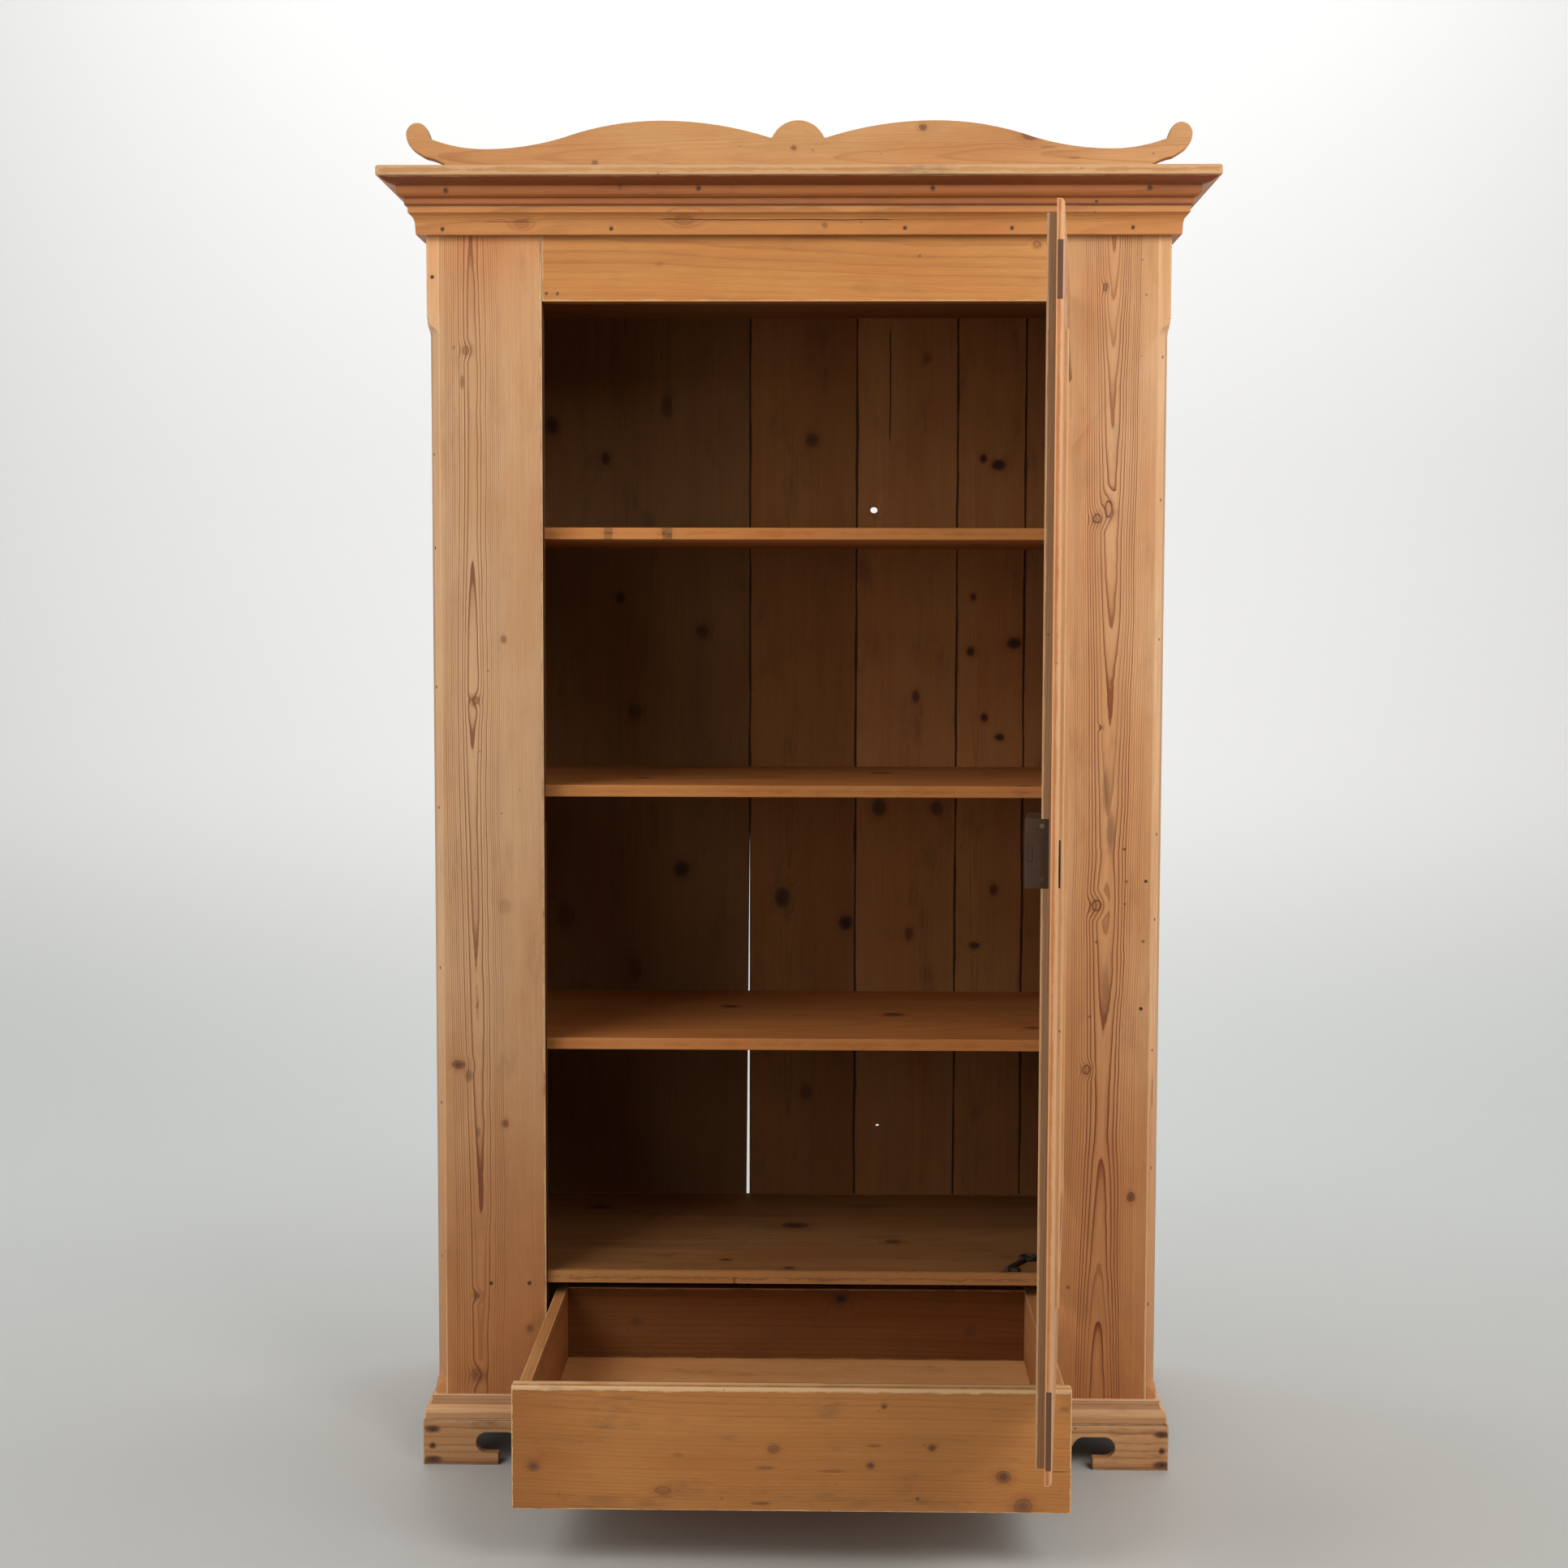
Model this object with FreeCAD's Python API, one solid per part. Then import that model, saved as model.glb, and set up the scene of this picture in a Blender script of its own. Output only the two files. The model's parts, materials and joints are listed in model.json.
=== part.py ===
import FreeCAD, Part
import math
import os

# A pine wardrobe with one door and one drawer, in millimetres.
# X runs across the front, Y runs back from the front of the stiles, Z is up from the floor.
# The door and the drawer are drawn shut, then moved to where they stand open. At the end all
# pieces move along Y together, so that the origin is under the middle of the open wardrobe.

V = FreeCAD.Vector
X_AXIS = V(1, 0, 0)
Y_AXIS = V(0, 1, 0)
Z_AXIS = V(0, 0, 1)
ORIGIN = V(0, 0, 0)

# Driving sizes of the carcase
body_width = 980.0
inside_depth = 455.0
stile_width = 152.0
stile_thick = 24.0
side_thick = 20.0
back_thick = 14.0
board_thick = 16.0
housing_depth = 6.0
carcase_foot_z = 50.0
overrun = 2.0

# Heights above the floor
plinth_height = 61.0
base_moulding_height = 33.0
bottom_top_z = 261.5
lower_shelf_z = 578.0
middle_shelf_z = 923.5
upper_shelf_z = 1270.0
opening_top_z = 1565.0
ceiling_gap = 35.0
cornice_top_z = 1719.5

# Cornice, base and crest
top_board_thick = 13.0
cornice_reach = 56.0
crown_height = 33.0
bed_height = 36.5
bed_reach = 20.8
base_moulding_reach = 13.0
plinth_thick = 15.0
crest_width = 1027.0
crest_height = 65.0
crest_thick = 20.0
crest_setback = 12.0

# Door
door_gap = 1.5
door_lip = 11.0
door_lip_bottom = 15.0
door_bottom_z = 249.0
door_seat_gap = 0.5
door_lip_thick = 8.0
door_rebate_thick = 10.0
door_stile_width = 105.0
door_top_rail_height = 118.0
door_bottom_rail_height = 160.0
door_open_angle = 83.7

# Drawer
drawer_gap = 2.0
drawer_front_thick = 21.0
drawer_front_height = 151.0
drawer_back_room = 15.0
drawer_side_thick = 14.5
drawer_side_setin = 7.0
drawer_side_drop = 1.0
drawer_back_thick = 13.0
drawer_bottom_thick = 9.0
drawer_bottom_rise = 41.0
drawer_rail_thick = 17.0
drawer_slip = 0.3
drawer_left_inside = 65.0

# Places worked out from the driving sizes
half_width = body_width / 2
open_half = half_width - stile_width
side_in = half_width - side_thick
housed_half = side_in + housing_depth
body_depth = inside_depth + back_thick
crown_bottom_z = cornice_top_z - crown_height
bed_bottom_z = crown_bottom_z - bed_height
top_z = cornice_top_z + top_board_thick
ceiling_z = opening_top_z + ceiling_gap
bottom_under_z = bottom_top_z - board_thick
rail_top_z = plinth_height + drawer_rail_thick
drawer_low_z = rail_top_z + drawer_slip
drawer_length = inside_depth - drawer_back_room
drawer_pull = drawer_length - drawer_left_inside

pieces = {}


def block(x0, x1, y0, y1, z0, z1):
    """A board between two corners, in any order."""
    low = V(min(x0, x1), min(y0, y1), min(z0, z1))
    return Part.makeBox(abs(x1 - x0), abs(y1 - y0), abs(z1 - z0), low)


def mirrored(shape):
    """The same piece on the other side of the wardrobe."""
    return shape.mirror(ORIGIN, X_AXIS)


def outline(steps, to_space):
    """A flat face through the steps. A third number bows the edge that leads to its step,
    to the left of the way it runs, by that share of the edge's length."""
    edges = []
    for (a0, b0, *_), (a1, b1, *bow) in zip(steps, steps[1:] + steps[:1]):
        start, end = to_space(a0, b0), to_space(a1, b1)
        if bow:
            middle_a = (a0 + a1) / 2 - (b1 - b0) * bow[0]
            middle_b = (b0 + b1) / 2 + (a1 - a0) * bow[0]
            edges.append(Part.Arc(start, to_space(middle_a, middle_b), end).toShape())
        else:
            edges.append(Part.makeLine(start, end))
    return Part.Face(Part.Wire(edges))


def scaled(step_shares, size_a, size_b):
    """Steps given as shares of two sizes, at their real size. Bows stay shares."""
    return [(a * size_a, b * size_b, *bow) for a, b, *bow in step_shares]


# Stiles: wide front boards with a stopped chamfer down each outer corner, ended by a
# curved tongue and a small nib. The chamfer also runs into the side board behind.
chamfer_across = 15.5
chamfer_back = 32.0
chamfer_top_z = 1543.0
chamfer_low_z = 97.0
chamfer_nib = 2.5
tongue_length = 24.0
tongue_bow_share = 0.14

chamfer_slope = math.hypot(chamfer_across, chamfer_back)
chamfer_depth = chamfer_across * chamfer_back / chamfer_slope
chamfer_turn = math.degrees(math.atan2(chamfer_across, chamfer_back))
tongue_middle = (chamfer_nib + chamfer_depth) / 2

chamfer_steps = [
    (-overrun, chamfer_low_z),
    (chamfer_nib, chamfer_low_z),
    (tongue_middle, chamfer_low_z + tongue_length / 2, tongue_bow_share),
    (chamfer_depth, chamfer_low_z + tongue_length, -tongue_bow_share),
    (chamfer_depth, chamfer_top_z - tongue_length),
    (tongue_middle, chamfer_top_z - tongue_length / 2, -tongue_bow_share),
    (chamfer_nib, chamfer_top_z, tongue_bow_share),
    (-overrun, chamfer_top_z),
]
chamfer_cut = outline(chamfer_steps, lambda s, z: V(s, -chamfer_slope, z))
chamfer_cut = chamfer_cut.extrude(V(0, chamfer_slope * 2, 0))
chamfer_cut.rotate(ORIGIN, Z_AXIS, chamfer_turn)
chamfer_cut.translate(V(-half_width, 0, 0))

left_stile = block(-half_width, -open_half, 0, stile_thick, carcase_foot_z, cornice_top_z)
left_stile = left_stile.cut(chamfer_cut)
right_stile = mirrored(left_stile)
pieces["left_stile"] = left_stile

# Sides: one wide board each, housed out to hold the ceiling and the bottom board.
left_side = block(-half_width, -side_in, stile_thick, inside_depth, carcase_foot_z, cornice_top_z)
left_side = left_side.cut(chamfer_cut)
for low_z in (bottom_under_z, ceiling_z):
    housing = block(-housed_half, -side_in, stile_thick, inside_depth, low_z, low_z + board_thick)
    left_side = left_side.cut(housing)
pieces["left_side"] = left_side
pieces["right_side"] = mirrored(left_side)

# Lintel: the board over the door, let in between the stiles.
pieces["lintel"] = block(-open_half, open_half, 0, stile_thick, opening_top_z, cornice_top_z)

# Ceiling and bottom boards: the bottom board has a tongue that comes forward
# between the stiles, with a bite worn out of its front edge.
bottom_front_y = 12.5
bite_x_share = -0.24
bite_radius = 5.0
bite_reach = 1.6

pieces["ceiling_board"] = block(-housed_half, housed_half, stile_thick, inside_depth,
                                ceiling_z, ceiling_z + board_thick)
bottom = block(-housed_half, housed_half, stile_thick, inside_depth, bottom_under_z, bottom_top_z)
bottom_tongue = block(-open_half, open_half, bottom_front_y, stile_thick,
                      bottom_under_z, bottom_top_z)
bite_centre = V(open_half * bite_x_share, bottom_front_y - bite_radius + bite_reach,
                bottom_under_z - overrun)
bite = Part.makeCylinder(bite_radius, board_thick / 2 + overrun, bite_centre)
pieces["bottom_board"] = bottom.fuse(bottom_tongue).removeSplitter().cut(bite)

# Shelves: three loose boards that lie on cleats nailed to the sides.
shelf_front_y = 37.0
cleat_width = 20.0
cleat_height = 22.0
cleat_setback = 12.0
cleat_nose_share = 0.5

cleats = []
for number, shelf_z in enumerate([lower_shelf_z, middle_shelf_z, upper_shelf_z], start=1):
    under_z = shelf_z - board_thick
    pieces["shelf_" + str(number)] = block(-side_in, side_in, shelf_front_y, inside_depth,
                                           under_z, shelf_z)
    cleat_y = shelf_front_y + cleat_setback
    nose = cleat_height * cleat_nose_share
    cleat_steps = [
        (cleat_y + nose, under_z - cleat_height),
        (inside_depth, under_z - cleat_height),
        (inside_depth, under_z),
        (cleat_y, under_z),
        (cleat_y, under_z - cleat_height + nose),
    ]
    cleat = outline(cleat_steps, lambda y, z: V(-side_in, y, z)).extrude(V(cleat_width, 0, 0))
    cleats += [cleat, mirrored(cleat)]
pieces["shelf_cleats"] = Part.makeCompound(cleats)

# Back boards: five upright boards nailed to the back of the sides. One edge has shrunk
# to a wedge of open light, and two knots have dropped out of the middle board.
board_edge_shares = [-1.0, -0.1575, 0.1723, 0.4837, 0.6927, 1.0]
wedge_top_z = 873.0
wedge_width = 5.0
knot_x_shares = [0.2255, 0.2449]
upper_knot_z = 1313.0
upper_knot_radius = 5.5
lower_knot_z = 368.0
lower_knot_radius = 3.3
knot_squash_share = 0.86
knot_bow_share = 0.2
knotted_board = 3

board_edges = [share * half_width for share in board_edge_shares]
wedge_steps = [
    (board_edges[1], wedge_top_z),
    (board_edges[1] - wedge_width, bottom_under_z),
    (board_edges[1], bottom_under_z),
]
wedge = outline(wedge_steps, lambda x, z: V(x, inside_depth, z)).extrude(V(0, back_thick, 0))
knots = []
knot_places = [(upper_knot_z, upper_knot_radius), (lower_knot_z, lower_knot_radius)]
for share, (knot_z, radius) in zip(knot_x_shares, knot_places):
    knot_x = share * half_width
    squashed = radius * knot_squash_share
    rim = [
        (knot_x - radius, knot_z, knot_bow_share),
        (knot_x, knot_z + squashed, knot_bow_share),
        (knot_x + radius, knot_z, knot_bow_share),
        (knot_x, knot_z - squashed, knot_bow_share),
    ]
    knot = outline(rim, lambda x, z: V(x, inside_depth, z))
    knots.append(knot.extrude(V(0, back_thick, 0)))
for number, (x0, x1) in enumerate(zip(board_edges, board_edges[1:]), start=1):
    board = block(x0, x1, inside_depth, body_depth, carcase_foot_z, cornice_top_z)
    if number == 1:
        board = board.cut(wedge)
    if number == knotted_board:
        board = board.cut(knots[0]).cut(knots[1])
    pieces["back_board_" + str(number)] = board

# Top board: laid over the cornice, its front and end edges rounded over a little.
top_edge_round = 3.0

top_board = block(-half_width - cornice_reach, half_width + cornice_reach, -cornice_reach,
                  body_depth, cornice_top_z, top_z)
upper_edges = [edge for edge in top_board.Edges if edge.BoundBox.ZMin > cornice_top_z]
worn_edges = [edge for edge in upper_edges if edge.BoundBox.YMin < 0]
pieces["top_board"] = top_board.makeFillet(top_edge_round, worn_edges)


# Mouldings that run round the front and both sides, mitred at the two front corners.
# Steps are shares of the moulding's reach and height, from its inner lower corner.
crown_shares = [
    (0, 0),
    (0.436, 0),
    (0.436, 0.26),
    (0.457, 0.27),
    (0.598, 0.53, -0.19),
    (0.598, 0.715),
    (0.946, 1.0, -0.10),
    (0, 1.0),
]
bed_shares = [
    (0, 0),
    (0.56, 0),
    (0.60, 0.38),
    (0.95, 0.735, 0.11),
    (1.0, 0.75),
    (1.0, 1.0),
    (0, 1.0),
]
base_shares = [
    (0, 0),
    (0.93, 0),
    (1.0, 0.10),
    (1.0, 0.36),
    (0.84, 0.51, -0.2),
    (0.25, 0.86, 0.16),
    (0.25, 0.91),
    (0.34, 0.94),
    (0.25, 1.0, -0.2),
    (0, 1.0),
]


def mitred_run(steps, reach, low_z, height):
    """The front length and the left return of a moulding with this profile."""
    corner_x = half_width + reach
    front_plan = [(-half_width, 0), (half_width, 0), (corner_x, -reach), (-corner_x, -reach)]
    side_plan = [(-half_width, 0), (-corner_x, -reach), (-corner_x, body_depth),
                 (-half_width, body_depth)]
    front = outline(steps, lambda p, z: V(-corner_x, -p, low_z + z))
    front = front.extrude(V(corner_x * 2, 0, 0))
    side = outline(steps, lambda p, z: V(-half_width - p, -reach, low_z + z))
    side = side.extrude(V(0, reach + body_depth, 0))
    cut_runs = []
    for run, plan in ((front, front_plan), (side, side_plan)):
        prism = outline(plan, lambda x, y: V(x, y, low_z)).extrude(V(0, 0, height))
        cut_runs.append(run.common(prism))
    return cut_runs


crown_steps = scaled(crown_shares, cornice_reach, crown_height)
crown_front, crown_left = mitred_run(crown_steps, cornice_reach, crown_bottom_z, crown_height)
bed_steps = scaled(bed_shares, bed_reach, bed_height)
bed_front, bed_left = mitred_run(bed_steps, bed_reach, bed_bottom_z, bed_height)
for name, front, left in (("crown", crown_front, crown_left), ("bed", bed_front, bed_left)):
    pieces[name + "_moulding_front"] = front
    pieces[name + "_moulding_left"] = left
    pieces[name + "_moulding_right"] = mirrored(left)

# Base moulding: sits on the plinth and stops under each stile, clear of the drawer.
base_steps = scaled(base_shares, base_moulding_reach, base_moulding_height)
base_front, base_left = mitred_run(base_steps, base_moulding_reach, plinth_height,
                                   base_moulding_height)
base_corner = half_width + base_moulding_reach
under_stile = block(-base_corner, -open_half, -base_moulding_reach, 0, plinth_height,
                    plinth_height + base_moulding_height)
base_front_left = base_front.common(under_stile)
pieces["base_moulding_front_left"] = base_front_left
pieces["base_moulding_front_right"] = mirrored(base_front_left)
pieces["base_moulding_left"] = base_left
pieces["base_moulding_right"] = mirrored(base_left)

# Plinth: three boards round the foot, mitred in front, with a scroll sawn beside each toe.
toe_length = 102.5
toe_height = 16.5
scroll_eye = 14.2
scroll_throat = 16.0
scroll_flat = 8.0
scroll_fall = 12.4
scroll_run = 18.5
apron_z = 34.0
cusp_run = 26.0
fall_bow_share = 0.2
cusp_bow_share = 0.12


def foot_steps(outer, inward):
    """The sawn lower edge at one foot, from its toe's end to the apron. inward is 1 or -1."""
    toe = outer + toe_length * inward
    throat = toe - scroll_throat * inward
    top = toe_height + scroll_eye * 2
    eye = throat - scroll_eye * inward
    flat = toe + scroll_flat * inward
    fall = flat + scroll_run * inward
    quarter_bow = (math.sqrt(2) - 1) / 2 * inward
    return [
        (toe, 0),
        (toe, toe_height),
        (throat, toe_height),
        (eye, toe_height + scroll_eye, quarter_bow),
        (throat, top, quarter_bow),
        (flat, top),
        (fall, top - scroll_fall, fall_bow_share * inward),
        (fall + cusp_run * inward, apron_z, cusp_bow_share * inward),
    ]


def plinth_board(start, end, to_space):
    """A board standing on edge from start to end, with a sawn foot at both ends."""
    steps = [(start, plinth_height), (start, 0)] + foot_steps(start, 1)
    steps += foot_end(end) + [(end, 0), (end, plinth_height)]
    return outline(steps, to_space)


def foot_end(outer):
    """The steps of the far foot, run the other way. Each bow moves on to the next step."""
    steps = foot_steps(outer, -1)
    places = [step[:2] for step in steps][::-1]
    bows = [(-step[2],) if len(step) > 2 else () for step in steps][::-1]
    return [places[0]] + [place + bow for place, bow in zip(places[1:], bows)]


plinth_corner = half_width + plinth_thick
plinth_front = plinth_board(-plinth_corner, plinth_corner, lambda x, z: V(x, -plinth_thick, z))
plinth_front = plinth_front.extrude(V(0, plinth_thick, 0))
front_plan = [(-half_width, 0), (half_width, 0), (plinth_corner, -plinth_thick),
              (-plinth_corner, -plinth_thick)]
plinth_front = plinth_front.common(
    outline(front_plan, lambda x, y: V(x, y, 0)).extrude(V(0, 0, plinth_height)))
plinth_left = plinth_board(-plinth_thick, body_depth, lambda y, z: V(-plinth_corner, y, z))
plinth_left = plinth_left.extrude(V(plinth_thick, 0, 0))
side_plan = [(-half_width, 0), (-plinth_corner, -plinth_thick), (-plinth_corner, body_depth),
             (-half_width, body_depth)]
plinth_left = plinth_left.common(
    outline(side_plan, lambda x, y: V(x, y, 0)).extrude(V(0, 0, plinth_height)))
pieces["plinth_front"] = plinth_front
pieces["plinth_left"] = plinth_left
pieces["plinth_right"] = mirrored(plinth_left)

# Foot blocks: glued inside the four corners of the plinth, under the carcase.
foot_block = 48.0

front_foot = block(-half_width, -half_width + foot_block, 0, foot_block, 0, carcase_foot_z)
back_foot = block(-half_width, -half_width + foot_block, body_depth - foot_block, body_depth,
                  0, carcase_foot_z)
pieces["foot_blocks"] = Part.makeCompound([front_foot, back_foot, mirrored(front_foot),
                                           mirrored(back_foot)])

# Crest: a sawn board that stands on the top board, with a lobe in the middle, a hump each
# side and a curl at each end. Steps are shares of its half width and height.
crest_shares = [
    (0, 0),
    (0, 1.0),
    (0.067, 0.646, 0.152),
    (0.349, 0.995, 0.039),
    (0.600, 0.660, 0.042),
    (0.796, 0.434, -0.036),
    (0.938, 0.640, -0.047),
    (0.944, 0.790, 0.05),
    (0.975, 0.957, 0.18),
    (1.0, 0.740, 0.18),
    (0.983, 0.426, 0.10),
    (0.950, 0.266, 0.02),
    (0.890, 0.060, -0.06),
    (0.885, 0),
]
crest_steps = scaled(crest_shares, crest_width / 2, crest_height)
crest_half = outline(crest_steps, lambda x, z: V(x, -crest_setback, top_z + z))
crest_half = crest_half.extrude(V(0, crest_thick, 0))
crest = crest_half.fuse(mirrored(crest_half)).removeSplitter()
pieces["crest_board"] = crest

# Crest blocks: three glue blocks behind the crest that hold it upright.
crest_block_size = 24.0
crest_block_length = 60.0
crest_block_shares = [-0.55, 0, 0.55]

crest_back_y = crest_thick - crest_setback
crest_blocks = []
for share in crest_block_shares:
    centre_x = share * crest_width / 2
    wedge_steps = [
        (crest_back_y, top_z),
        (crest_back_y + crest_block_size, top_z),
        (crest_back_y, top_z + crest_block_size),
    ]
    glue_block = outline(wedge_steps, lambda y, z: V(centre_x - crest_block_length / 2, y, z))
    crest_blocks.append(glue_block.extrude(V(crest_block_length, 0, 0)))
pieces["crest_blocks"] = Part.makeCompound(crest_blocks)

# Drawer bearers: a rail in front, a rail behind, and between them two runners with
# guides on top that keep the drawer straight. Stops on the runners halt it when shut.
front_rail_depth = 64.0
back_rail_depth = 20.0
runner_width = 55.0
runner_inset = 12.0
guide_width = 20.0
guide_height = 20.0
guide_gap = 1.5
stop_gap = 0.5

drawer_half = open_half - drawer_gap
drawer_side_x = drawer_half - drawer_side_setin
runner_in = drawer_side_x - drawer_side_thick - runner_inset
guide_in = drawer_side_x + guide_gap

front_rail = block(-open_half, open_half, 0, stile_thick, plinth_height, rail_top_z)
front_rail = front_rail.fuse(block(-side_in, side_in, stile_thick, front_rail_depth,
                                   plinth_height, rail_top_z)).removeSplitter()
pieces["drawer_rail"] = front_rail
pieces["back_rail"] = block(-side_in, side_in, inside_depth - back_rail_depth, inside_depth,
                            carcase_foot_z, plinth_height)
left_runner = block(-runner_in, -runner_in - runner_width, front_rail_depth, inside_depth,
                    plinth_height, rail_top_z)
pieces["left_runner"] = left_runner
pieces["right_runner"] = mirrored(left_runner)
left_guide = block(-guide_in, -guide_in - guide_width, stile_thick, inside_depth,
                   rail_top_z, rail_top_z + guide_height)
pieces["drawer_guides"] = Part.makeCompound([left_guide, mirrored(left_guide)])
left_stop = block(-runner_in, -drawer_side_x, drawer_length + stop_gap, inside_depth,
                  rail_top_z, rail_top_z + guide_height)
pieces["drawer_stops"] = Part.makeCompound([left_stop, mirrored(left_stop)])

# Drawer: a plain front that overhangs the sides. Each side slides up into a dovetailed
# housing behind the front, and meets the back with three through dovetails.
slide_depth = 9.0
slide_neck = 8.0
slide_end = 11.5
bottom_in_side = 5.0
bottom_in_front = 6.0
back_drop = 0.8
tail_count = 3
tail_neck_share = 0.42
tail_end_share = 0.62

drawer_top_z = drawer_low_z + drawer_front_height
drawer_side_top_z = drawer_top_z - drawer_side_drop
drawer_floor_z = drawer_low_z + drawer_bottom_rise + drawer_bottom_thick
drawer_side_in = drawer_side_x - drawer_side_thick
drawer_back_y = drawer_length - drawer_back_thick
drawer_back_top_z = drawer_side_top_z - back_drop

slide_x = -drawer_side_x + drawer_side_thick / 2
slide_plan = [
    (slide_x - slide_neck / 2, drawer_front_thick),
    (slide_x - slide_end / 2, drawer_front_thick - slide_depth),
    (slide_x + slide_end / 2, drawer_front_thick - slide_depth),
    (slide_x + slide_neck / 2, drawer_front_thick),
]
slide_key = outline(slide_plan, lambda x, y: V(x, y, drawer_low_z))
slide_key = slide_key.extrude(V(0, 0, drawer_side_top_z - drawer_low_z))

tail_pitch = (drawer_back_top_z - drawer_floor_z) / tail_count
tails = []
for number in range(tail_count):
    tail_z = drawer_floor_z + tail_pitch * (number + 1 / 2)
    half_neck = tail_pitch * tail_neck_share / 2
    half_end = tail_pitch * tail_end_share / 2
    tail_steps = [
        (drawer_back_y, tail_z - half_neck),
        (drawer_length, tail_z - half_end),
        (drawer_length, tail_z + half_end),
        (drawer_back_y, tail_z + half_neck),
    ]
    tail = outline(tail_steps, lambda y, z: V(-drawer_side_x, y, z))
    tails.append(tail.extrude(V(drawer_side_thick, 0, 0)))
left_tails = Part.makeCompound(tails)

drawer_bottom = block(-drawer_side_in - bottom_in_side, drawer_side_in + bottom_in_side,
                      drawer_front_thick - bottom_in_front, drawer_length,
                      drawer_floor_z - drawer_bottom_thick, drawer_floor_z)
drawer_front = block(-drawer_half, drawer_half, 0, drawer_front_thick, drawer_low_z, drawer_top_z)
drawer_front = drawer_front.cut(slide_key).cut(mirrored(slide_key)).cut(drawer_bottom)
side_board = block(-drawer_side_x, -drawer_side_in, drawer_front_thick, drawer_length,
                   drawer_low_z, drawer_side_top_z)
pin_room = block(-drawer_side_x, -drawer_side_in, drawer_back_y, drawer_length,
                 drawer_floor_z, drawer_back_top_z)
drawer_left = side_board.cut(pin_room.cut(left_tails)).fuse(slide_key).removeSplitter()
drawer_left = drawer_left.cut(drawer_bottom)
drawer_back = block(-drawer_side_x, drawer_side_x, drawer_back_y, drawer_length,
                    drawer_floor_z, drawer_back_top_z)
drawer_back = drawer_back.cut(left_tails).cut(mirrored(left_tails))

drawer_pieces = {
    "drawer_front": drawer_front,
    "drawer_left_side": drawer_left,
    "drawer_right_side": mirrored(drawer_left),
    "drawer_back": drawer_back,
    "drawer_bottom": drawer_bottom,
}
for name, shape in drawer_pieces.items():
    shape.translate(V(0, -drawer_pull, 0))
    pieces[name] = shape

# Door frame: a slab in two layers, the inner one within the opening and the outer one
# lapping over the carcase all round, with a rounded front edge. Rails are tenoned
# right through the stiles, and a thin panel lies in a groove.
door_edge_round = 4.5
tenon_thick = 6.0
top_tenon_drop = 29.0
top_tenon_shoulder = 16.5
bottom_tenon_rise = 2.0
bottom_tenon_shoulder = 58.0
panel_thick = 7.0
panel_in_groove = 8.0
panel_setback = 6.0

lip_half = open_half + door_lip
lip_low_z = door_bottom_z - door_lip_bottom
lip_top_z = opening_top_z + door_lip
rebate_half = open_half - door_gap
rebate_top_z = opening_top_z - door_gap
door_front_y = -door_seat_gap - door_lip_thick
door_back_y = -door_seat_gap + door_rebate_thick

lip_layer = block(-lip_half, lip_half, door_front_y, -door_seat_gap, lip_low_z, lip_top_z)
front_edges = [edge for edge in lip_layer.Edges if edge.BoundBox.YMax < -door_seat_gap
               - door_lip_thick / 2]
lip_layer = lip_layer.makeFillet(door_edge_round, front_edges)
rebate_layer = block(-rebate_half, rebate_half, -door_seat_gap, door_back_y, door_bottom_z,
                     rebate_top_z)
door_slab = lip_layer.fuse(rebate_layer).removeSplitter()

panel_half = lip_half - door_stile_width
panel_low_z = lip_low_z + door_bottom_rail_height
panel_top_z = lip_top_z - door_top_rail_height
panel_front_y = door_front_y + panel_setback
tenon_front_y = door_front_y + (door_lip_thick - tenon_thick) / 2
panel = block(-panel_half - panel_in_groove, panel_half + panel_in_groove, panel_front_y,
              panel_front_y + panel_thick, panel_low_z - panel_in_groove,
              panel_top_z + panel_in_groove)
tenon_back_y = tenon_front_y + tenon_thick
top_tenons = block(-lip_half, lip_half, tenon_front_y, tenon_back_y,
                   panel_top_z + top_tenon_shoulder, rebate_top_z - top_tenon_drop)
bottom_tenons = block(-lip_half, lip_half, tenon_front_y, tenon_back_y,
                      door_bottom_z + bottom_tenon_rise, panel_low_z - bottom_tenon_shoulder)

lock_stile = door_slab.common(block(-lip_half, -panel_half, door_front_y, door_back_y,
                                    lip_low_z, lip_top_z))
lock_stile = lock_stile.cut(panel).cut(top_tenons).cut(bottom_tenons)
hinge_stile = mirrored(lock_stile)
top_rail = door_slab.common(block(-panel_half, panel_half, door_front_y, door_back_y,
                                  panel_top_z, lip_top_z))
top_rail = top_rail.fuse(top_tenons).removeSplitter().cut(panel)
bottom_rail = door_slab.common(block(-panel_half, panel_half, door_front_y, door_back_y,
                                     lip_low_z, panel_low_z))
bottom_rail = bottom_rail.fuse(bottom_tenons).removeSplitter().cut(panel)

# Panel moulding: four mitred lengths planted on the panel against the frame.
# Steps are shares of its width, from the frame inwards, and of its height.
moulding_width = 18.0
moulding_proud = 4.5
moulding_shares = [
    (0, 0),
    (1.0, 0),
    (1.0, 0.28),
    (0.72, 0.46, -0.16),
    (0.46, 0.86, 0.16),
    (0.30, 1.0, 0.2),
    (0.08, 1.0),
    (0, 0.9, 0.2),
]
moulding_height = panel_setback + moulding_proud
moulding_steps = scaled(moulding_shares, moulding_width, moulding_height)
panel_middle_z = (panel_low_z + panel_top_z) / 2
panel_half_height = (panel_top_z - panel_low_z) / 2


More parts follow.
